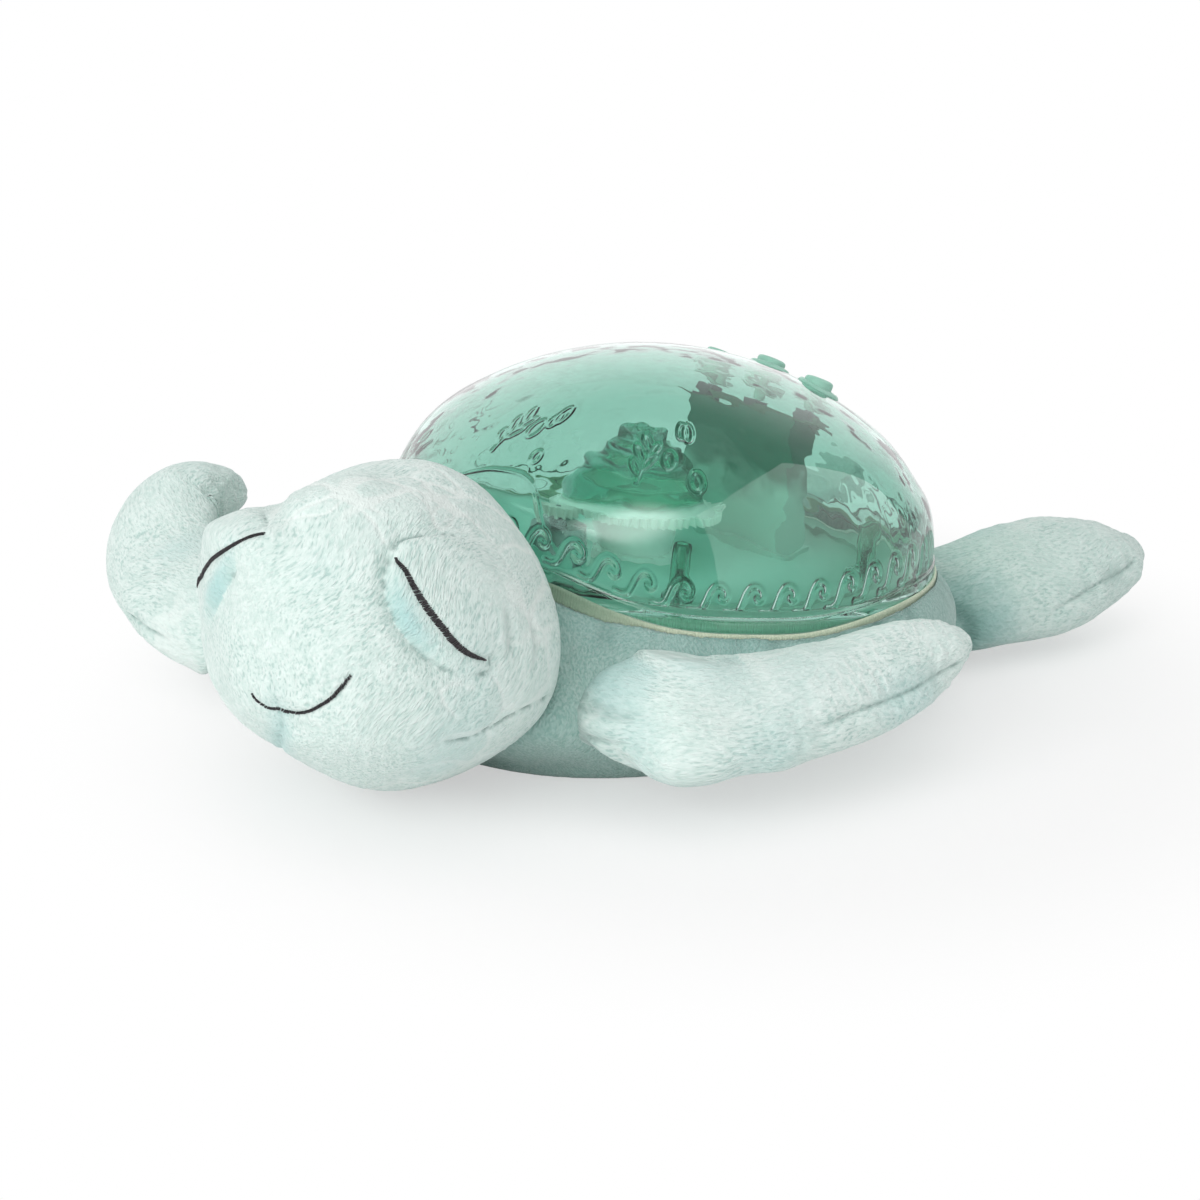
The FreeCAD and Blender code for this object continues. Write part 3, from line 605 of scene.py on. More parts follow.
def follow_outline(points, outline, hidden, s, root, around, blurs):
    """Let a limb's skin follow its outline in the picture, each pull spread softly over the skin.

    What lies right of and below the pixel hidden is behind another piece and stays as it is.
    """
    middle = np.mean(outline, axis=0)
    for blur in blurs:
        px, py = to_pixel(points).T
        behind = ramp(px, hidden[0], hidden[0] + 24) * ramp(py, hidden[1] - 12, hidden[1] + 12)
        weight = ramp(s, root * 0.6, root * 2.2) * (1 - behind)
        pull = fit_outline(points, outline, middle, (s > root * 0.5) & (behind < 0.1), weight) - points
        grid = pull[:-2].reshape(-1, around, 3)
        for _ in range(blur):
            grid = (np.roll(grid, 1, 1) + 2 * grid + np.roll(grid, -1, 1)) / 4
            grid = (np.vstack([grid[:1], grid[:-1]]) + 2 * grid + np.vstack([grid[1:], grid[-1:]])) / 4
        points = points + np.vstack([grid.reshape(-1, 3), grid[0].mean(0), grid[-1].mean(0)])
    return points


def limb(name, node, levels, mirror, seam, root, seed, scales=0.0, overall_shade=0.0,
         outline=None, seam_side=0, hidden=(2000, 2000), seam_end=7):
    """Stuffed limb. seam is the pixel line of its visible seam, if one shows."""
    lf = limb_frame(levels, mirror)
    around = 230
    ob, s, u, v, w, ang = limb_mesh(name, lf, 0.85, around)
    if outline:
        set_coords(ob, follow_outline(coords(ob), outline, hidden, s, root, around, (70, 30, 12)))
    p, n = coords(ob), normals(ob)
    end = lf["along"][-1]
    # Seam along both edges: where the picture shows one, that edge follows it
    seam_gap = np.hypot(v, np.where(np.abs(u) / w > 0.5, 0, 20.0))
    shown = np.zeros(len(p))
    if seam:
        line = project(mesh_tree(ob), seam, 0.5)
        gap, share = line_distance(p, line, SEAM_REACH)
        side = seam_side or np.sign(u[gap.argmin()])
        shown = (np.sign(u) == side) * ramp(gap, SEAM_REACH, 22.0)
        seam_gap = seam_gap * (1 - shown) + gap * shown
        seam_gap = np.minimum(seam_gap, np.where(gap < 8, gap, 99.0))
        shown = bell(gap, 6.0) * ramp(share, 0.62, 0.8)
    run = np.stack([s, ang * 6.0, ang * 0], 1)
    gather = (lumps(run * np.array([1.0, 0.10, 1.0]), 3.2, seed + 5)
              + 0.6 * lumps(run * np.array([1.0, 0.08, 1.0]), 7.5, seed + 6))
    live = ramp(s, root + 20, root + 50) * (1 - 0.8 * ramp(s, end - seam_end, end - seam_end * 0.6))
    groove = bell(seam_gap, 0.75) * live * (1 - shown)
    hollow = bell(seam_gap, 3.4) * live * (1 - 0.6 * shown)
    puff = bell(seam_gap - 5.5, 4.0) * live
    move = -0.95 * groove - 0.75 * hollow + 0.45 * gather * puff + 0.25 * puff
    # Soft stuffing lumps
    move = move + 0.9 * lumps(p, 30, seed) + 0.4 * lumps(p, 13, seed + 1)
    # Where the limb is sewn on: the cloth draws in and folds fan out from there
    near = np.where(s < root + SEWN_REACH)[0]
    gap = np.full(len(p), SEWN_REACH)
    gap[near] = tree_gap(CARRIER, p[near], SEWN_REACH)
    sewn = bell(gap, 3.0) * ramp(s, root + 45, root + 15)
    fan = np.stack([ang * w * 0.75, gap * 0.16, ang * 0], 1)
    folds = lumps(fan, 6.0, seed + 2) + 0.5 * lumps(fan, 11.0, seed + 3)
    reach = bell(gap, 15.0)
    move = move - 1.6 * sewn + 1.15 * folds * reach * ramp(gap, 0.0, 5.0)
    # Pile clumps
    drift = swirl(p, 4.0, 30, seed + 11)
    pile = np.stack([s * 0.45, u, v], 1) + drift * np.array([0.4, 1.0, 1.0])
    move = move + 0.13 * lumps(pile, CLUMP, seed + 12)
    # Embossed scales in staggered rows, as pale lines
    emboss = np.zeros(len(p))
    if scales:
        row_high, long_step = 8.6, 4.6
        row = np.floor(u / row_high)
        shift = (row % 2) * 0.5
        a = np.abs(((s / long_step + shift) % 1) - 0.5) * long_step
        b = np.abs(((u / row_high) % 1) - 0.5) * row_high
        lines = np.maximum(ramp(a, 1.45, 2.1), 0.35 * ramp(b, 3.3, 4.1))
        where = ramp(s, root + 34, root + 70) * (1 - ramp(np.abs(u) / w, 0.66, 0.9))
        where = where * ramp(lumps(p, 20, seed + 8), -0.6, 0.3) * (v > 0)
        emboss = lines * where * scales
        move = move + 0.22 * emboss
        edge = cell_edges(p + swirl(p, 3.0, 12, seed + 9), 21.0, seed + 10)
        plates = ramp(edge, 1.3, 0.4) * ramp(lumps(p, 26, seed + 4), -0.2, 0.4)
        emboss = np.maximum(emboss, 0.8 * plates * (1 - ramp(s, root + 50, root + 75)))
    dots = 0.55 + 0.45 * ramp(lumps(run, 1.6, seed + 14), -0.5, 0.3)
    # Dark seam lines, and painted shade in the seam's hollow, at the sewn root and in the root's folds
    seam_and_crease_shade = 0.62 * groove * dots * ramp(gather, -1.2, 0.3) + 0.30 * hollow * ramp(-gather, 0.2, 1.0)
    fold_shade = (0.35 if outline else 0.6) * reach * ramp(-folds, 0.25, 0.9)
    seam_and_crease_shade = seam_and_crease_shade + 0.5 * sewn + fold_shade * ramp(lumps(p, 3.0, seed + 15), -0.7, 0.4)
    # Teal tone: painted shade near the sewn root, and random patches
    teal_tone_and_shade = 0.8 * reach * ramp(lumps(p, 16, seed + 3), -0.3, 0.6)
    teal_tone_and_shade = teal_tone_and_shade + 0.45 * ramp(lumps(p, 34, seed + 4), 0.35, 0.9)
    # Painted shade: an even amount over the whole limb, and more close to the body where it is sewn on
    deep = overall_shade > 0.1
    shade = overall_shade + (0.75 if deep else 0.3) * bell(gap, 13.0 if deep else 7.0) * ramp(s, root + 60, root + 20)
    move = n * move[:, None]
    if outline:
        move = follow_outline(p + move, outline, hidden, s, root, around, (8, 4)) - p
    finish_plush(ob, move, seam_and_crease_shade, teal_tone_and_shade, emboss, pile, node, shade)


NEAR_OUTLINE = [
    (616, 640), (589, 667), (586, 688), (598, 717), (613, 747), (636, 769), (657, 782), (686, 788),
    (718, 783), (748, 775), (783, 771), (809, 761), (842, 751), (877, 738), (906, 723), (935, 703),
    (959, 676), (971, 656), (972, 641), (965, 629), (947, 620), (924, 616), (897, 619), (868, 626),
    (839, 634), (809, 641), (780, 648), (751, 652), (721, 654), (698, 654), (677, 652), (663, 650),
    (648, 644), (630, 640)]
FAR_OUTLINE = [
    (206, 677), (171, 660), (142, 638), (122, 611), (109, 586), (106, 557), (111, 529), (126, 500),
    (146, 479), (171, 465), (196, 461), (220, 465), (237, 473), (247, 488), (247, 502), (237, 514),
    (222, 530), (225, 580), (232, 640)]
NEAR_SEAM = [
    (975, 645), (969, 655), (945, 672), (916, 688), (888, 700), (856, 712), (826, 726), (797, 738),
    (768, 756), (742, 770)]
FAR_SEAM = [(121, 608), (140, 625), (167, 639), (185, 648), (206, 653)]
REAR_SEAM = [
    (1134, 562), (1120, 573), (1099, 583), (1077, 597), (1054, 609), (1035, 613), (1012, 615), (990, 618)]

limb("front_flipper_left_plush", "front_flipper_left", FRONT_LEFT, 1, NEAR_SEAM, 24, 11, 1.0,
     outline=NEAR_OUTLINE, seam_side=1)
limb("front_flipper_right_plush", "front_flipper_right", FRONT_RIGHT, 1, FAR_SEAM, 24, 23, 0.4, 0.06,
     FAR_OUTLINE, hidden=(232, 545), seam_end=72)
limb("rear_flipper_left_plush", "rear_flipper_left", REAR, 1, REAR_SEAM, 20, 37, 0.5, 0.22, seam_side=1)
limb("rear_flipper_right_plush", "rear_flipper_right", REAR, -1, None, 20, 41, 0.5, 0.22)
limb("tail_plush", "tail", TAIL, 1, None, 8, 53)


# ---- head
FORWARD = np.array([math.sin(HEAD_TURN), -math.cos(HEAD_TURN), 0.0])
ACROSS = np.array([math.cos(HEAD_TURN), math.sin(HEAD_TURN), 0.0])

EYE_NEAR = [
    (393, 556), (402, 568), (411, 585), (420, 601), (431, 616), (443, 631), (454, 644), (468, 654),
    (485, 660)]
EYE_FAR = [
    (197, 587), (199, 579), (204, 570), (213, 559), (222, 552), (231, 546), (241, 540), (253, 534),
    (263, 532)]
SMILE = [
    (251, 693), (255, 700), (262, 707), (268, 711), (276, 713), (288, 714), (297, 714), (308, 712),
    (318, 707), (328, 701), (337, 693), (345, 684), (350, 677)]
LID_ARC = [
    (394, 550), (388, 562), (385, 583), (388, 603), (397, 624), (410, 641), (425, 657), (438, 667),
    (452, 673)]
LID_TOP = [(394, 551), (396, 542), (405, 536), (420, 534), (438, 531), (456, 532), (471, 536)]
LID_END = [(490, 652), (492, 663), (491, 672), (474, 676)]
LID = LID_ARC[1:] + [
    (474, 676), (492, 671), (505, 640), (508, 600), (500, 566), (471, 536), (438, 531), (405, 536)]
JAW = [(551, 696), (532, 707), (512, 717), (494, 727), (473, 737), (450, 741), (430, 745)]
NECK_FOLDS = [[(509, 598), (511, 630), (512, 664)], [(533, 612), (537, 645), (533, 676)]]
MUZZLE = [(272, 662), (275, 687), (277, 711), (279, 741), (284, 762)]
PLATES = [
    [(346, 497), (376, 524), (384, 540)], [(399, 483), (429, 504), (437, 520)],
    [(282, 516), (323, 514), (346, 497)], [(346, 497), (360, 478)], [(494, 677), (503, 695), (503, 710)],
    [(441, 690), (444, 703), (456, 716)], [(441, 690), (455, 684), (474, 688)]]


def mirrored(points):
    off = (points - HEAD_AT) @ ACROSS
    return points - 2 * off[:, None] * ACROSS


def inside_shape(points, shape):
    """Signed distance in the picture to a closed outline, positive inside."""
    best = np.full(len(points), 1e9)
    inside = np.zeros(len(points), bool)
    for k in range(len(shape)):
        a, b = shape[k - 1], shape[k]
        ab = b - a
        t = np.clip(((points - a) @ ab) / (ab @ ab), 0, 1)
        best = np.minimum(best, np.linalg.norm(points - a - t[:, None] * ab, axis=1))
        cross = ((a[1] > points[:, 1]) != (b[1] > points[:, 1]))
        with np.errstate(divide="ignore", invalid="ignore"):
            x = (b[0] - a[0]) * (points[:, 1] - a[1]) / (b[1] - a[1]) + a[0]
        inside ^= cross & (points[:, 0] < x)
    return np.where(inside, best, -best)


def lid_depth(points, facing):
    """How far inside the padded eyelid each point lies, in millimetres, near side."""
    shape = smooth_line(LID + LID[:1], 4.0)[:-1]
    pixels = to_pixel(points)
    d = inside_shape(pixels, shape) * PX_MM
    fade = ramp(pixels[:, 0], 500, 430)
    return np.where(facing, d, -50.0), np.where(facing, fade, 0)


HEAD_OUTLINE = [
    (205, 524), (228, 513), (249, 506), (279, 502), (292, 493), (323, 478), (359, 464), (394, 459),
    (425, 460), (450, 468), (481, 486), (509, 516), (537, 557), (555, 603), (561, 647), (556, 685),
    (542, 715), (517, 741), (481, 764), (435, 783), (389, 791), (343, 783), (287, 754), (241, 723),
    (213, 685), (202, 644), (199, 606), (197, 587), (200, 550)]


HEAD_MIDDLE = np.array([380.0, 625.0])
head = dense("head_plush", "head", 0.85)
set_coords(head, fit_outline(coords(head), HEAD_OUTLINE, HEAD_MIDDLE))
head_tree = mesh_tree(head)
eye_near, eye_far, smile, jaw, muzzle, lid_arc, lid_top, lid_end = (
    project(head_tree, line, 0.5)
    for line in (EYE_NEAR, EYE_FAR, SMILE, JAW, MUZZLE, LID_ARC, LID_TOP, LID_END))
neck_folds = [project(head_tree, f) for f in NECK_FOLDS]
plates = [project(head_tree, f) for f in PLATES]


def both_sides(rows):
    """Each row as given, then with its line mirrored to the head's other side."""
    for line, *rest in rows:
        yield (line, *rest)
        yield (mirrored(line), *rest)


def head_form():
    p, n = coords(head), normals(head)

    def lid_side(places, outward):
        to_cam = (CAM_AT - places) / np.linalg.norm(CAM_AT - places, axis=1)[:, None]
        facing = (outward * to_cam).sum(1)
        return (*lid_depth(places, facing > 0.05), facing)
    one, fade_one, facing = lid_side(p, n)
    two, fade_two, _ = lid_side(mirrored(p), n - 2 * (n @ ACROSS)[:, None] * ACROSS)
    lid = np.maximum(one, two)
    fade = np.where(one > two, fade_one, fade_two)
    pad = 2.2 * ramp(lid, -1.0, 6.0) * (0.25 + 0.75 * fade) - 0.9 * bell(lid + 1.5, 2.6) * fade
    by_far_eye = bell(line_distance(p, eye_far, 20.0)[0], 6.0)
    move = pad * (1 - by_far_eye) + 1.1 * by_far_eye
    seam_and_crease_shade, teal_tone_and_shade = np.zeros(len(p)), np.zeros(len(p))
    speck = ramp(lumps(p, 1.5, 73), -0.45, 0.25)
    # Seams pressed in along the jaw and round the lid; their dark lines are partly painted shade in the
    # grooves
    for line, depth, width, dark in both_sides([
            (jaw, 1.0, 1.0, 0.9), (lid_top, 0.8, 0.9, 0.8),
            (lid_end, 1.0, 1.0, 0.9), (lid_arc, 1.2, 1.1, 0.5)]):
        d, share = line_distance(p, line, 14.0)
        show = ramp(share, 0.0, 0.06) * (1 - 0.8 * ramp(share, 0.75, 1.0))
        move = move - depth * show * (bell(d, width) + 0.5 * bell(d, 3.2 * width))
        seam_and_crease_shade = seam_and_crease_shade + dark * show * bell(d, width * 0.8) * speck
    # Painted shade in a teal tone inside the lid beside its arc, and dark along the arc's lower end
    for line, in both_sides([(lid_arc,)]):
        d, share = line_distance(p, line, 14.0)
        teal_tone_and_shade = teal_tone_and_shade + 1.0 * bell(d - 3.0, 4.0) * bell(share - 0.52, 0.26) * (lid > 0)
        seam_and_crease_shade = seam_and_crease_shade + 0.4 * bell(d, 1.0) * ramp(share, 0.75, 0.95) * speck
    # Neck folds pressed in, with painted shade in them
    for line, depth, width in both_sides([(neck_folds[0], 1.2, 2.2), (neck_folds[1], 1.0, 1.9)]):
        d, share = line_distance(p, line, 14.0)
        show = ramp(share, 0.0, 0.3) * (1 - ramp(share, 0.7, 1.0))
        move = move - depth * show * bell(d, width) + 0.5 * depth * show * bell(d - 4.0, 2.5)
        seam_and_crease_shade = seam_and_crease_shade + 0.22 * show * bell(d, width * 0.8)
    # The muzzle's middle seam and dimple, with painted shade in a teal tone beside it and dark along it
    d, share = line_distance(p, muzzle, 16.0)
    show = ramp(share, 0.0, 0.3) * (1 - ramp(share, 0.75, 1.0))
    dimple = bell(np.linalg.norm(p - muzzle[len(muzzle) // 2], axis=1), 3.0)
    move = move - show * (0.9 * bell(d, 1.8) + 0.8 * bell(d, 7.0)) - 1.0 * dimple
    teal_tone_and_shade = teal_tone_and_shade + 0.75 * show * bell(d, 5.0)
    seam_and_crease_shade = seam_and_crease_shade + 0.45 * show * bell(d, 1.0) * speck
    for line, width in ((eye_near, 1.6), (eye_far, 1.5), (smile, 1.2)):
        move = move - 0.7 * bell(line_distance(p, line, 8.0)[0], width)
    # Embossed plates and the stuffing's slow lumps
    edge = cell_edges(p + swirl(p, 3.0, 12, 75), 22.0, 76)
    emboss = 0.95 * ramp(edge, 1.4, 0.5) * ramp(lumps(p, 30, 77), -0.35, 0.25)
    emboss = emboss * ramp((p - HEAD_AT) @ FORWARD, 46, 30)
    for line in plates:
        emboss = np.maximum(emboss, bell(line_distance(p, line, 8.0)[0], 0.8))
    circle = np.abs(np.linalg.norm(to_pixel(p) - np.array([445, 514]), axis=1) - 10.5) * PX_MM
    emboss = np.maximum(emboss, bell(circle, 0.8) * (facing > 0.1))
    emboss = emboss * (1 - 0.8 * ramp(lid, -2, 1))
    move = move - 0.4 * emboss + 0.9 * lumps(p, 36, 78) + 0.4 * lumps(p, 13, 79)
    teal_tone_and_shade = teal_tone_and_shade + 0.4 * ramp(lumps(p, 36, 80), 0.3, 0.9)
    run = np.array([0, 0, 0.6]) - FORWARD * 0.8
    run = run / np.linalg.norm(run)
    moved = p + swirl(p, 9.0, 34, 81)
    pile = moved + run * (moved @ run)[:, None] * (0.33 - 1)
    move = move + 0.12 * lumps(pile, CLUMP, 82)
    move = n * move[:, None]
    move = fit_outline(p + move, HEAD_OUTLINE, HEAD_MIDDLE) - p
    finish_plush(head, move, seam_and_crease_shade, teal_tone_and_shade, emboss, pile, "head")


head_form()
head_tree = mesh_tree(head)


def thread_paint():
    p = Paint("dark_thread", Roughness=0.7, Sheen_Weight=0.15, Sheen_Roughness=0.3)
    p.set(Base_Color=p.mix(p.span(p.noise(900.0, 2.0), 0.3, 0.7), rgb(30, 27, 30), rgb(52, 48, 52)))
    return p.mat


THREAD = thread_paint()


def satin(name, line, widths, pitch, lean):
    """A line of satin stitches: thin threads laid side by side across it."""
    line, up = settle(head_tree, line)
    along = np.gradient(line, axis=0)
    along /= np.linalg.norm(along, axis=1)[:, None]
    length = np.concatenate([[0], np.cumsum(np.linalg.norm(np.diff(line, axis=0), axis=1))])
    rng = np.random.default_rng(len(name))
    rings, around = 7, 6
    verts, faces = [], []
    for k in range(int(length[-1] / pitch)):
        at = (k + 0.5) * pitch
        share = at / length[-1]
        i = min(np.searchsorted(length, at), len(line) - 1)
        half = np.interp(share, widths[0], widths[1]) / 2 * rng.uniform(0.93, 1.07)
        across = np.cross(up[i], along[i])
        lean_now = along[i] * lean * half
        radius = 0.26 * rng.uniform(0.9, 1.1)
        start = len(verts)
        for m in range(rings):
            t = m / 3 - 1
            mid = line[i] + across * half * t + lean_now * t
            mid = mid + up[i] * (0.75 * (1 - t ** 4) - 0.25) + along[i] * rng.normal(0, 0.02)
            r = radius * (1 - 0.35 * abs(t) ** 3)
            for a in range(around):
                ang = a * math.pi / 3
                verts.append(mid + along[i] * r * math.cos(ang) + up[i] * r * math.sin(ang))
        faces.extend(tube_faces(rings, around, start, flip=True))
        faces.append([start + a for a in range(around)][::-1])
        faces.append([start + (rings - 1) * around + a for a in range(around)])
    ob = mesh_object(name, verts, faces)
    paint(ob, THREAD)
    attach(ob, "turtle")


satin("eye_thread_left", eye_near,
      ([0, 0.12, 0.35, 0.6, 0.8, 0.92, 1], [1.0, 1.9, 2.9, 3.1, 2.4, 1.5, 0.7]), 0.27, 0.3)
satin("eye_thread_right", eye_far, ([0, 0.3, 0.6, 0.9, 1], [0.8, 1.9, 2.4, 1.5, 1.1]), 0.27, 0.3)
satin("smile_thread", smile,
      ([0, 0.15, 0.25, 0.29, 0.35, 0.6, 0.85, 1], [0.6, 1.1, 1.6, 2.0, 1.0, 1.2, 1.5, 1.0]), 0.28, 0.5)


# ---- lobed lower edge of the dome
# Angle from +X in degrees and height of the clear edge, the same on both sides
EDGE = [
    (-90, 8.5), (-78, 8.2), (-65, 6.4), (-59, 3.6), (-54, 1.0), (-49, -0.9), (-44, -2.7), (-39, -3.6),
    (-33, -4.0), (-14, -3.9), (-8, -2.7), (-1, -1.0), (6, 0.7), (16, 2.5), (25, 3.2), (35, 3.7), (60, 4.0),
    (90, 4.0)]
# Height of the plush all round, just outside the collar
PLUSH_TOP = [
    (-90, 4.6), (-78, 4.4), (-70, 3.6), (-63, 1.0), (-59, -1.3), (-54, -2.9), (-47, -3.8), (-41, -4.4),
    (-36, -4.7), (-14, -5.2), (-1, -3.4), (6, -1.8), (16, 0.1), (25, 1.2), (35, 1.9), (90, 2.2)]


def folded(phi):
    """Angle in degrees brought to the turtle's left half, between -90 and 90."""
    a = (np.degrees(phi) + 90) % 360
    return np.where(a > 180, 360 - a, a) - 90


def round_height(table, phi):
    """Height at angles from a table of the left half, its corners rounded off."""
    at = np.arange(-90, 91, 1.0)
    line = np.interp(at, *np.array(table, float).T)
    for _ in range(12):
        line[1:-1] = (line[:-2] + 2 * line[1:-1] + line[2:]) / 4
    return np.interp(folded(phi), at, line)


def edge_height(phi):
    return round_height(EDGE, phi)


# ---- body
CLOTH_DROP, COLLAR_OUT, FOOT_TUCK = 9.3, 100.7, 13.0


def body_form():
    ob = dense("body_plush", "plush_body", 1.4)
    p, n = coords(ob), normals(ob)
    flat = ramp(p[:, 2], 2.0, 7.0)
    tilt = unit_to_ground(np.zeros((1, 3)))[0]
    local = p - tilt
    c, s = math.cos(PITCH), math.sin(PITCH)
    uz = local[:, 1] * s + local[:, 2] * c
    ur = np.hypot(local[:, 0], local[:, 1] * c - local[:, 2] * s)
    outer = ramp(ur, 84, 93) * flat * (1 - ramp(n @ np.array([0, 0, -1.0]), 0.7, 0.95))
    turn = np.arctan2(local[:, 1], local[:, 0]) * 105
    gather = lumps(np.stack([turn, uz * 0.15, ur * 0.05], 1), 6.5, 91)
    below = bell(uz + 12.5, 4.0)
    move = 0.5 * gather * below + 0.9 * lumps(p, 30, 92) + 0.35 * lumps(p, 12, 93)
    edge = cell_edges(p + swirl(p, 2.5, 9, 94), 15.0, 95)
    emboss = ramp(edge, 1.5, 0.5) * ramp(lumps(p, 24, 96), -0.3, 0.4)
    move = (move - 0.3 * emboss) * outer
    # Painted shade in the gathered folds under the collar; the teal tone is random patches plus painted shade
    # on the band below the collar
    seam_and_crease_shade = 0.35 * below * ramp(-gather, 0.0, 0.8) * outer
    teal_tone_and_shade = 0.5 * ramp(lumps(p, 36, 97), 0.1, 0.8) * outer + 0.35 * below
    pile = p * np.array([1.0, 1.0, 0.3]) + swirl(p, 14.0, 36, 98)
    phi = np.arctan2(local[:, 1] * c - local[:, 2] * s, local[:, 0])
    c_phi, s_phi = np.cos(phi), np.sin(phi)
    # beside the collar the cloth rises to its top line and closes up to the band
    beside = ramp(uz, -27, -11) * ramp(ur, 97, 98.5)
    lift = (round_height(PLUSH_TOP, phi) + CLOTH_DROP) * beside
    away = np.maximum(0, COLLAR_OUT - ur) * beside
    out = np.stack([c_phi, s_phi * c, -s_phi * s], 1)
    # the belly's foot is drawn in
    tuck = -FOOT_TUCK * (1 - ramp(p[:, 2], 3, 34)) * ramp(ur, 55, 88)
    level = np.stack([c_phi, s_phi, 0 * phi], 1)
    move = (n * move[:, None] + np.array([0, s, c]) * lift[:, None] + out * away[:, None]
            + level * tuck[:, None])
    # Painted shade: the body darkened all over, more towards its outer side
    shade = 0.25 + 0.65 * ramp(ur, 60, 90)
    finish_plush(ob, move, seam_and_crease_shade, teal_tone_and_shade, emboss * outer, pile, "plush_body", shade)


body_form()


# ---- collar band
def collar():
    ribs, per = 640, 4
    segs = ribs * per
    ang = np.arange(segs) * 2 * math.pi / segs
    rib = 0.15 * np.cos(ang * ribs)
    top = edge_height(ang) - 0.1
    # behind the clear skirt, then outside it: radius, drop from the top line, ribbed or not
    back, out = LIP_R - SKIRT_WALL - 0.3, LIP_R + 0.1
    inner = [(back - 0.35 + 0.5 * math.sin(math.pi * k / 8), -0.4 - 8.5 * k / 8, 1.0) for k in range(9)]
    inner += [(back - 1.3, -9.0, 0.0), (back - 1.5, -5.0, 0.0), (back - 1.3, -0.4, 0.0)]
    outer = [(out + more, z, ribbed) for more, z, ribbed in (
        (0.1, 0.0, 0.0), (0.45, 0.06, 0.5), (0.75, 0.35, 1.0), (0.85, 0.8, 1.0), (0.8, 1.6, 1.0),
        (0.6, 2.2, 1.0), (0.85, 3.0, 1.0), (0.9, -7.5, 1.0), (0.7, -9.4, 1.0), (0.0, -9.4, 0.0),
        (0.0, -6.0, 0.0), (0.0, 0.5, 0.0))]
    verts, faces, behind_skirt_shade = [], [], []
    for rows, inside in ((inner, True), (outer, False)):
        faces.extend(tube_faces(len(rows), segs, len(verts) * segs, wrap=True))
        for r, z, ribbed in rows:
            wob = 0.1 * lumps(np.stack([ang * 97, np.full(segs, z), ang * 0], 1), 9.0, 5)
            height = z if inside or z < 0 else np.maximum(top - z, -8.5 - 0.1 * z)
            verts.append(ring(r + (rib + wob) * ribbed, height, ang))
            behind_skirt_shade.append(np.full(segs, float(inside)))
    ob = mesh_object("collar_ribbed", unit_to_ground(np.vstack(verts)), faces)
    # Painted shade: the band behind the clear skirt is coloured darker and greener
    store(ob, "behind_skirt_shade", np.concatenate(behind_skirt_shade))
    # Painted shade: the band darkens towards the front, where the head shades it
    store(ob, "front", np.tile(ramp(-folded(ang), 36, 62), len(verts)))
    p = Paint("collar_ribbing", Roughness=0.85, Sheen_Weight=0.3)
    yarn, drift = p.noise(1500.0, 2.0), p.noise(40.0, 2.0)
    base = p.mix(p.span(yarn, 0.3, 0.7), rgb(186, 198, 172), rgb(216, 224, 200))
    base = p.mix(p.span(drift, 0.35, 0.7, 0, 0.35), base, rgb(176, 192, 168))
    # painted shade towards the front
    base = p.mix(p.math("MULTIPLY", p.attribute("front"), 0.8), base, rgb(112, 146, 122))
    # painted shade behind the clear skirt
    base = p.mix(p.attribute("behind_skirt_shade"), base, rgb(138, 178, 158))
    p.set(Base_Color=base, Normal=p.bump(yarn, 0.5, 0.25))
    paint(ob, p.mat)
    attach(ob, "turtle")
    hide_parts("collar_band")


collar()


# ---- dome
def crown_profile(radius, rise, count):
    """Radius and height of points from the rim up to the crown, two tangent arcs."""
    turn = math.atan2(radius, rise)
    c, s = math.cos(turn), math.sin(turn)
    r_end = (radius * (1 - s) - rise * c) / (1 - c - s)
    r_flat = (rise * (1 - c) - radius * s) / (1 - c - s)
    first = r_end * turn
    second = r_flat * (math.pi / 2 - turn)
    out = []
    for d in np.linspace(0, first + second, count):
        a = d / r_end if d <= first else turn + (d - first) / r_flat
        c, s = math.cos(a), math.sin(a)
        if d <= first:
            out.append((radius - r_end + r_end * c, r_end * s, c, s))
        else:
            out.append((r_flat * c, rise - r_flat + r_flat * s, c, s))
    return np.array(out)


WAVES = 48
WAVE_LOW, WAVE_HIGH = 5.0, 14.6
# One running wave, in shares of its pitch and height: up its back and over into a curl
WAVE = [
    (-0.06, 0.02), (0.12, 0.0), (0.28, 0.12), (0.38, 0.42), (0.48, 0.76), (0.63, 0.98), (0.81, 0.97),
    (0.94, 0.80), (0.95, 0.60), (0.86, 0.50), (0.77, 0.58)]
ARCH = [
    (-66, 13.0), (-69, 19), (-72, 26), (-75.5, 30.8), (-79.5, 33), (-84, 33), (-90, 31.5), (-96, 27),
    (-101, 20)]
# Angle and foot height of each sprig, the radius its sizes are turned to angles at, and its leaves' lean
SPRIGS = ((-92, 37.0), (-52, 37.0), (150, 17.5), (186, 17.5), (224, 17.5))
SPRIG_R, LEAF_LEAN = 88, math.radians(40)


def wall_shift(phi, z):
    """How far the wall's lines follow the lobed edge, at heights over the lip."""
    return (edge_height(phi) + 0.8) * (1 - ramp(z, 13.0, 34.0))


def on_dome(phi, z, inset=WALL):
    """Places on the dome's inner face at angles in degrees and heights over the lip."""
    want = np.asarray(z, float)
    for _ in range(6):
        z = want - wall_shift(np.radians(phi), z)
    rows = crown_profile(DOME_R - inset, DOME_RISE - inset, 400)
    r = np.interp(z, rows[:, 1], rows[:, 0])
    return ring(r, np.asarray(z) + LIP_H, np.radians(phi))


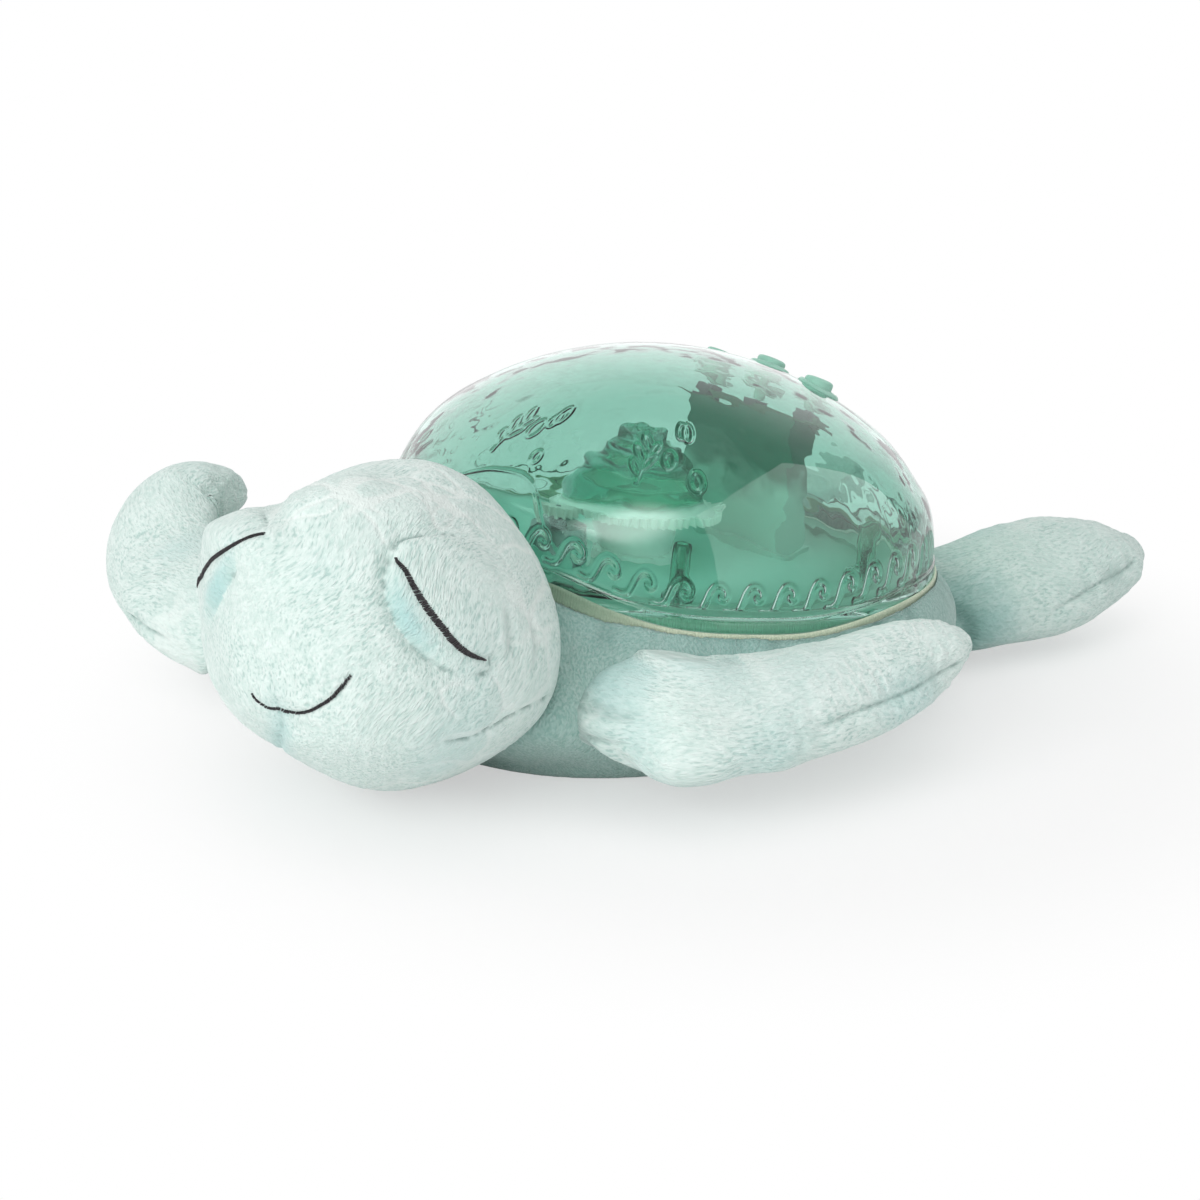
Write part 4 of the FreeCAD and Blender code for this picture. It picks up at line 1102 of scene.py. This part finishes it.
def relief_lines():
    """Leaf sprigs, bubbles and one arch over the waves: lines in degrees and heights."""
    lines = [on_dome(*smooth_line(ARCH, 0.25).T)]
    rng = np.random.default_rng(4)
    for base, foot in SPRIGS:
        lean = rng.uniform(-3, 3)
        tall = rng.uniform(9, 13)
        t = np.linspace(0, 1, 40)
        lines.append(on_dome(base + lean * t ** 2, foot + tall * t))
        for k in range(5):
            at = 0.25 + 0.15 * k
            way = 1 if k % 2 else -1
            th = np.linspace(0, 2 * math.pi, 40)
            along, out = (2.6 + 0.3 * (k % 3)) * (1 + np.cos(th)), np.sin(th)
            c, s = math.cos(LEAF_LEAN), math.sin(LEAF_LEAN)
            dx = way * (along * c) - out * s
            dz = along * s + way * out * c
            lines.append(on_dome(base + lean * at ** 2 + np.degrees(dx / SPRIG_R), foot + tall * at + dz))
        for k in range(4):
            th = np.linspace(0, 2 * math.pi, 50)
            size = rng.uniform(1.2, 2.6)
            cx, cz = base + rng.uniform(6, 15), foot + rng.uniform(-1, 15)
            lines.append(on_dome(cx + np.degrees(size * np.cos(th) / SPRIG_R), cz + size * np.sin(th)))
    return lines


def relief(phi, pts):
    """Height of the moulded line work on the dome's inner face."""
    radius = DOME_R - WALL
    z = pts[:, 2]
    pitch = 2 * math.pi * radius / WAVES
    one = smooth_line([(x * pitch, WAVE_LOW + y * (WAVE_HIGH - WAVE_LOW)) for x, y in WAVE], 0.2)
    line = np.concatenate([one + [k * pitch, 0] for k in (-1, 0, 1)])
    at = np.stack([(phi * radius) % pitch, z], 1)
    height = np.zeros(len(phi))
    near = np.where((z > WAVE_LOW - 3) & (z < WAVE_HIGH + 3))[0]
    for start in range(0, len(near), CHUNK):
        idx = near[start:start + CHUNK]
        d = np.linalg.norm(at[idx][:, None] - line[None], axis=2).min(1)
        # fainter on the far wall, which shows through the front
        height[idx] = ramp(d, 1.5, 0.2) * (1 - 0.75 * bell(np.degrees(phi[idx]) - 98, 30))
    for line in relief_lines():
        d, share = line_distance(pts, line, 2.0)
        height = np.maximum(height, 0.42 * ramp(d, 1.15, 0.15))
    return height


def dome():
    segs = 1320
    ang = np.arange(segs) * 2 * math.pi / segs
    low = np.minimum(edge_height(ang), -0.02)
    lip = LIP_H + wall_shift(ang, 0.0)
    skirt, foot = LIP_R - SKIRT_WALL, LIP_R - LIP_FOOT
    outer = crown_profile(DOME_R, DOME_RISE, 60)
    rings = [ring(r, z + LIP_H + wall_shift(ang, z), ang) for r, z in outer[-2::-1, :2]]
    for r, z in ((DOME_R + 0.1, lip - 0.02), (LIP_R - 0.25, lip - 0.05), (LIP_R, lip - 0.35),
                 (LIP_R, (lip + low) / 2), (LIP_R, low + 0.3), (LIP_R - 0.25, low), (skirt + 0.25, low),
                 (skirt, low + 0.25), (skirt, -0.01), (skirt - 0.3, 0.0), (foot + 0.3, 0.0), (foot, 0.3),
                 (foot, LIP_H - 0.3), (foot + 0.3, LIP_H), (DOME_R - WALL - 0.2, LIP_H + 0.05)):
        rings.append(ring(r, z, ang))
    start = len(rings)
    rows = crown_profile(DOME_R - WALL, DOME_RISE - WALL, 190)[1:-1]
    for r, z in rows[:, :2]:
        rings.append(ring(r, np.maximum(z + wall_shift(ang, z), 0.05 + 0.1 * z) + LIP_H, ang))
    flat = np.vstack([ring(r, z + LIP_H, ang) for r, z in rows[:, :2]])
    pts = np.vstack(rings[start:])
    phi = np.tile(ang, len(rows))
    direction = ring(np.repeat(rows[:, 2], segs), np.repeat(rows[:, 3], segs), phi)
    ripple = RIPPLE * (lumps(pts, 9.0, 3) + 0.45 * lumps(pts, 4.6, 4))
    ripple = ripple * ramp(pts[:, 2], LIP_H + 3, LIP_H + 16)
    moved = pts - direction * (ripple + relief(phi, flat) + 0.05)[:, None]
    crowns = [[0, 0, DOME_RISE + LIP_H], [0, 0, DOME_RISE - WALL + LIP_H]]
    verts = unit_to_ground(np.vstack([*rings[:start], moved, crowns]))
    ob = mesh_object("dome_shell", verts, closed_faces(len(rings), segs))
    paint(ob, CLEAR_GREEN)
    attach(ob, "turtle")
    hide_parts("dome")


def lathe(outline, around):
    """Mesh turned about z from a closed outline of radius and height pairs."""
    ang = np.arange(around) * 2 * math.pi / around
    return np.vstack([ring(r, z, ang) for r, z in outline]), tube_faces(len(outline), around, 0, True, True)


def merged(parts):
    """Several meshes of the hard unit as one, in the ground's frame."""
    verts, faces, base = [], [], 0
    for v, f in parts:
        verts.append(v)
        faces.extend([[i + base for i in face] for face in f])
        base += len(v)
    return unit_to_ground(np.vstack(verts)), faces


POST = [
    (1.3, 0.0), (5.2, 0.0), (5.5, 0.3), (5.5, 1.6), (5.3, 2.3), (4.7, 2.8), (3.8, 3.0), (3.45, 3.4),
    (3.3, 4.5), (3.15, POST_HEIGHT - 0.8), (2.9, POST_HEIGHT - 0.2), (2.4, POST_HEIGHT),
    (2.0, POST_HEIGHT - 0.1), (1.8, POST_HEIGHT - 0.6), (1.3, 12.0)]


def posts():
    """Hollow screw posts inside the dome, each with its foot ring."""
    v, f = lathe(POST, 40)
    ob = mesh_object("dome_posts", *merged(
        (v + [POST_CIRCLE * math.cos(a), POST_CIRCLE * math.sin(a), 0], f) for a in np.radians(POST_ANGLES)))
    weld(ob)
    paint(ob, POST_GREEN)
    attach(ob, "turtle")
    e = ob.modifiers.new("edges", "BEVEL")
    e.width, e.segments, e.limit_method, e.angle_limit = 0.15 * MM, 1, "ANGLE", math.radians(50)
    apply_modifiers(ob)


BUTTON_Y, BUTTON_PITCH = 48.0, 25.0
BUTTON_RING = [
    (5.6, 0.9), (5.7, 1.15), (6.0, 1.3), (6.7, 1.25), (7.3, 0.95), (7.7, 0.35), (7.9, -0.4), (5.6, -0.4)]


def button_rings():
    """Raised collars of the dome round the three buttons."""
    rows = crown_profile(DOME_R, DOME_RISE, 400)[::-1]
    lean = np.interp(BUTTON_Y, rows[:, 0], np.arctan2(rows[:, 2], rows[:, 3]))
    c, s = math.cos(lean), math.sin(lean)
    v, f = lathe(BUTTON_RING, 64)
    parts = []
    for x in (-BUTTON_PITCH, 0.0, BUTTON_PITCH):
        # lean with the press, then drop each point onto the dome's face
        px, y = v[:, 0] + x, v[:, 1] * c + BUTTON_Y
        face = np.interp(np.hypot(px, y), rows[:, 0], rows[:, 1]) + LIP_H
        parts.append((np.stack([px, y + v[:, 2] * s, face + v[:, 2] * c], 1), f))
    ob = mesh_object("dome_button_rings", *merged(parts))
    paint(ob, simple_paint("ring_satin_green", (150, 200, 182), 0.35, grain=0.02))
    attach(ob, "turtle")


RIPPLE = 0.12
CLEAR_GREEN = clear_paint("dome_clear_green", (190, 227, 216), (228, 242, 236), 0.012)
POST_GREEN = clear_paint("dome_post_green", (172, 216, 202), (206, 232, 222), 0.02)
dome()
posts()
button_rings()


# ---- belly flap
def belly_flap():
    ob = dense("belly_flap_cloth", "belly_flap", 1.1)
    p, n = coords(ob), normals(ob)
    inset = np.minimum(p - p.min(0), p.max(0) - p)[:, :2].min(1)
    row = inset - 3.5
    stitch = bell(row, 0.6) * ramp(np.sin((p[:, 0] + p[:, 1]) * 2 * math.pi / 3.2), -0.4, 0.3)
    move = -0.35 * stitch - 0.2 * bell(row, 1.4) + 0.12 * lumps(p, 9, 7)
    set_coords(ob, p + n * move[:, None])
    q = Paint("flap_cloth", Roughness=0.9, Sheen_Weight=0.25)
    weave = q.noise(1.0, 2.0, at=q.place("MULTIPLY", (900.0, 2600.0, 900.0)))
    q.set(Base_Color=q.mix(q.span(weave, 0.3, 0.7), rgb(176, 200, 192), rgb(204, 222, 214)),
          Normal=q.bump(weave, 0.5, 0.2))
    paint(ob, q.mat)
    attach(ob, "belly_flap")
    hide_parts("belly_flap")


belly_flap()


# ---- carried-over solids
RIM_UP = (SHIFT[1] * math.sin(PITCH) + RIM_HEIGHT * math.cos(PITCH)) * MM
LENS_RING = 0.0190
DECK_MIDDLE = unit_to_ground(np.array([[0.0, -13.0, 0.0]]))[0] * MM


def unit_height(p):
    """Socket giving the height over the dome's rim plane, in metres."""
    return p.math("SUBTRACT", p.place("DOT_PRODUCT", (0, math.sin(PITCH), math.cos(PITCH))), RIM_UP)


def column_paint():
    """Moulded plastic whose colour deepens with height in the dome."""
    p = Paint("column_plastic")
    at = p.math("ADD", unit_height(p), p.span(p.noise(44.0), 0.3, 0.7, -0.006, 0.006))
    p.set(Base_Color=p.mix(p.span(at, 0.014, 0.034), rgb(160, 202, 190), rgb(52, 112, 94)))
    p.rubbed(0.32, 0.48)
    return p.mat


def deck_paint():
    """Green moulding with painted shade, darker towards its rim."""
    p = Paint("deck_plastic")
    # painted shade towards the rim
    away = p.span(p.place("DISTANCE", DECK_MIDDLE), 0.045, 0.085)
    p.set(Base_Color=p.mix(away, rgb(174, 222, 210), rgb(134, 180, 164)))
    p.rubbed(0.34, 0.48)
    return p.mat


def lens_paint():
    """Clear crown over a milky toothed ring."""
    p = clear_base("lens_clear", (160, 222, 206), 0.03)
    milky = p.fill(p.node("BsdfPrincipled"), Base_Color=rgb(250, 252, 248),
                   Roughness=p.span(p.noise(400.0, 2.0), 0.3, 0.7, 0.3, 0.42))
    low = p.span(unit_height(p), LENS_RING, LENS_RING + 0.003, 0.85, 0.0)
    return p.passing(p.blend(low, p.shader.outputs[0], milky), (222, 238, 230))


# paint name, colour, roughness, metal and grain of each node
PLAIN = {
    "base_tray": ("tray_plastic", (214, 224, 216), 0.38, 0, 0.02),
    "lamp_cup": ("white_plastic", (255, 255, 252), 0.3, 0, 0.01),
    "lamp_board": ("lamp_board_green", (52, 104, 74), 0.4),
    "motor": ("motor_steel", (176, 178, 180), 0.3, 0.9),
    "motor_pinion": ("pinion_plastic", (236, 236, 230), 0.35),
    "button_board": ("board_green", (46, 92, 68), 0.4),
    "button_switches": ("switch_plastic", (60, 62, 64), 0.4),
    "main_board": ("main_board_green", (46, 92, 68), 0.4),
    "board_components": ("chip_black", (44, 44, 46), 0.45),
    "dome_screws": ("screw_steel", (172, 172, 170), 0.28, 1),
    "speaker_frame": ("cone_paper", (56, 56, 58), 0.7, 0, 0.05),
    "speaker_magnet": ("magnet_steel", (120, 122, 124), 0.4, 0.9),
    "contacts_left": ("contact_metal", (196, 192, 176), 0.3, 1),
    "contacts_right": ("contact_metal_b", (196, 192, 176), 0.3, 1),
    "battery_door": ("door_plastic", (210, 220, 212), 0.4, 0, 0.02),
    "loop_tape": ("loop_tape_cloth", (206, 214, 208), 0.95, 0, 0.3),
}
for key in "123":
    PLAIN["battery_" + key] = ("cell_wrap_" + key, (70, 112, 104), 0.35)
for key in ("left", "middle", "right"):
    PLAIN["button_" + key] = ("button_rubber_" + key, (150, 200, 182), 0.5, 0, 0.03)
FINISHES = {key: simple_paint(*values) for key, values in PLAIN.items()}
FINISHES["inner_deck"] = deck_paint()
FINISHES["button_column"] = column_paint()
FINISHES["lamp_leds"] = clear_paint("led_clear", (238, 240, 236), (245, 245, 245), 0.05)
FINISHES["ripple_lens"] = lens_paint()
for key, mat in FINISHES.items():
    paint(nodes[key], mat)


# ---- stage and light, in metres
FLOOR_HALF, LAMP_R, WALL_R = 6.0, 0.4, 0.95
WALL_GLOW, BACK_GLOW, LAMP_GLOW = 1.55, 1.1, 7.0
ROOM_LIGHT, ROOM_MIRRORED, ROOM_SEEN = 0.66, 0.45, 1.0


def floor():
    """White floor, plain white away from the toy for all but the lamps."""
    corners = [(-1, -1, 0), (1, -1, 0), (1, 1, 0), (-1, 1, 0)]
    ob = mesh_object("floor", np.array(corners) * FLOOR_HALF / MM, [(0, 1, 2, 3)])
    p = Paint("floor_white", Base_Color=(0.93, 0.93, 0.93, 1), Roughness=0.9)
    path = p.node("LightPath").outputs
    seen = p.math("MAXIMUM", path["Is Camera Ray"], path["Is Glossy Ray"])
    seen = p.math("MAXIMUM", seen, path["Is Transmission Ray"])
    clean = p.span(p.place("DISTANCE", (0.075, 0.0, 0.0)), 0.14, 0.25, 0.52, 1.0)
    glow = p.node("Emission").outputs[0]
    paint(ob, p.surface(p.blend(p.math("MULTIPLY", seen, clean), p.shader.outputs[0], glow)))


floor()


def reflector(name, verts, faces, p, strength):
    """Glowing stage piece that only reflections see."""
    ob = mesh_object(name, np.array(verts) / MM, faces)
    paint(ob, p.surface(p.fill(p.node("Emission"), Strength=strength)))
    ob.visible_camera = ob.visible_diffuse = ob.visible_transmission = ob.visible_shadow = False


def black(name):
    return Paint(name, Base_Color=(0, 0, 0, 1))


def lamp_face():
    """Soft round lamp in front of the toy."""
    at = Vector((0.546, -0.585, 0.89))
    side = Vector((0, 0, 1)).cross(at).normalized()
    up = at.normalized().cross(side)
    ang = np.arange(48) * 2 * math.pi / 48
    verts = [at + (side * math.cos(a) + up * math.sin(a)) * LAMP_R for a in ang]
    p = black("lamp_white")
    strength = p.span(p.place("DISTANCE", at), LAMP_R, 0.12, 0.4, LAMP_GLOW)
    reflector("lamp_face", verts, [list(range(48))], p, strength)


def panel():
    """Large white softbox at the right, fading towards its far end and its foot."""
    turn = math.radians(33)
    ahead = np.array([math.cos(turn), math.sin(turn), 0])
    side = np.array([-math.sin(turn), math.cos(turn), 0])
    verts = [ahead * 0.9 + side * w + np.array([0, 0, z])
             for z in (0.0, 0.8, 1.65) for w in (-1.07, 0.5, 2.4)]
    faces = [(3 * m + k, 3 * m + k + 1, 3 * m + k + 4, 3 * m + k + 3) for m in (0, 1) for k in (0, 1)]
    p = black("wall_white")
    along = p.span(p.place("DOT_PRODUCT", side), 0.9, 2.3, WALL_GLOW, 0.6)
    high = p.span(p.place("DOT_PRODUCT", (0, 0, 1)), 0.0, 0.5, 0.45, 1.35)
    reflector("studio_wall", verts, faces, p, p.math("MULTIPLY", along, high))


def back_glow():
    """Pale far wall low behind the toy, fading upwards and to both ends."""
    verts = [(WALL_R * math.cos(a), WALL_R * math.sin(a), z)
             for a in np.radians(np.linspace(80, 215, 40)) for z in (0.0, 0.75, 1.5)]
    faces = [(3 * k + m, 3 * k + 3 + m, 3 * k + 4 + m, 3 * k + 1 + m) for k in range(39) for m in (0, 1)]
    p = black("back_white")
    turn = math.radians(150)
    middle = p.span(p.place("DOT_PRODUCT", (math.cos(turn), math.sin(turn), 0)), 0.38, 0.75, 0.0, BACK_GLOW)
    high = p.span(p.place("DOT_PRODUCT", (0, 0, 1)), 0.45, 1.4, 1.0, 0.0)
    reflector("back_wall", verts, faces, p, p.math("ADD", p.math("MULTIPLY", high, middle), 0.4))


lamp_face()
panel()
back_glow()


def world():
    """Room light: one level to the eye and through clear pieces, one in reflections, one that lights."""
    w = bpy.data.worlds.new("studio")
    bpy.context.scene.world = w
    w.use_nodes = True
    t = w.node_tree
    path = t.nodes.new("ShaderNodeLightPath").outputs

    def sky(strength):
        n = t.nodes.new("ShaderNodeBackground")
        n.inputs["Strength"].default_value = strength
        return n.outputs[0]

    def joined(kind, *sources):
        n = t.nodes.new("ShaderNode" + kind)
        for socket, source in zip(n.inputs, sources):
            t.links.new(source, socket)
        return n
    lighting = t.nodes["Background"]
    lighting.inputs["Color"].default_value = (1, 1, 1, 1)
    lighting.inputs["Strength"].default_value = ROOM_LIGHT
    room = joined("MixShader", path["Is Glossy Ray"], lighting.outputs[0], sky(ROOM_MIRRORED))
    seen = joined("Math", path["Is Camera Ray"], path["Is Transmission Ray"])
    seen.operation = "MAXIMUM"
    both = joined("MixShader", seen.outputs[0], room.outputs[0], sky(ROOM_SEEN))
    t.links.new(both.outputs[0], t.nodes["World Output"].inputs["Surface"])


world()


def softbox(name, at, aim, size, level):
    """Area lamp that lights a facing surface at the aim point to level."""
    data = bpy.data.lights.new(name, "AREA")
    data.shape = "RECTANGLE"
    data.size, data.size_y = size
    ob = bpy.data.objects.new(name, data)
    link(ob)
    ob.location = at
    away = Vector(aim) - Vector(at)
    ob.rotation_euler = away.to_track_quat("-Z", "Y").to_euler()
    data.energy = level * math.pi ** 2 * away.length_squared
    ob.visible_glossy = False


softbox("key", (0.25, -1.9, 0.95), (0.0, -0.05, 0.05), (1.6, 1.2), 0.44)
softbox("top", (0.1, 0.3, 1.9), (0.0, 0.0, 0.06), (1.6, 1.4), 0.12)

bpy.context.scene.view_settings.view_transform = "Standard"
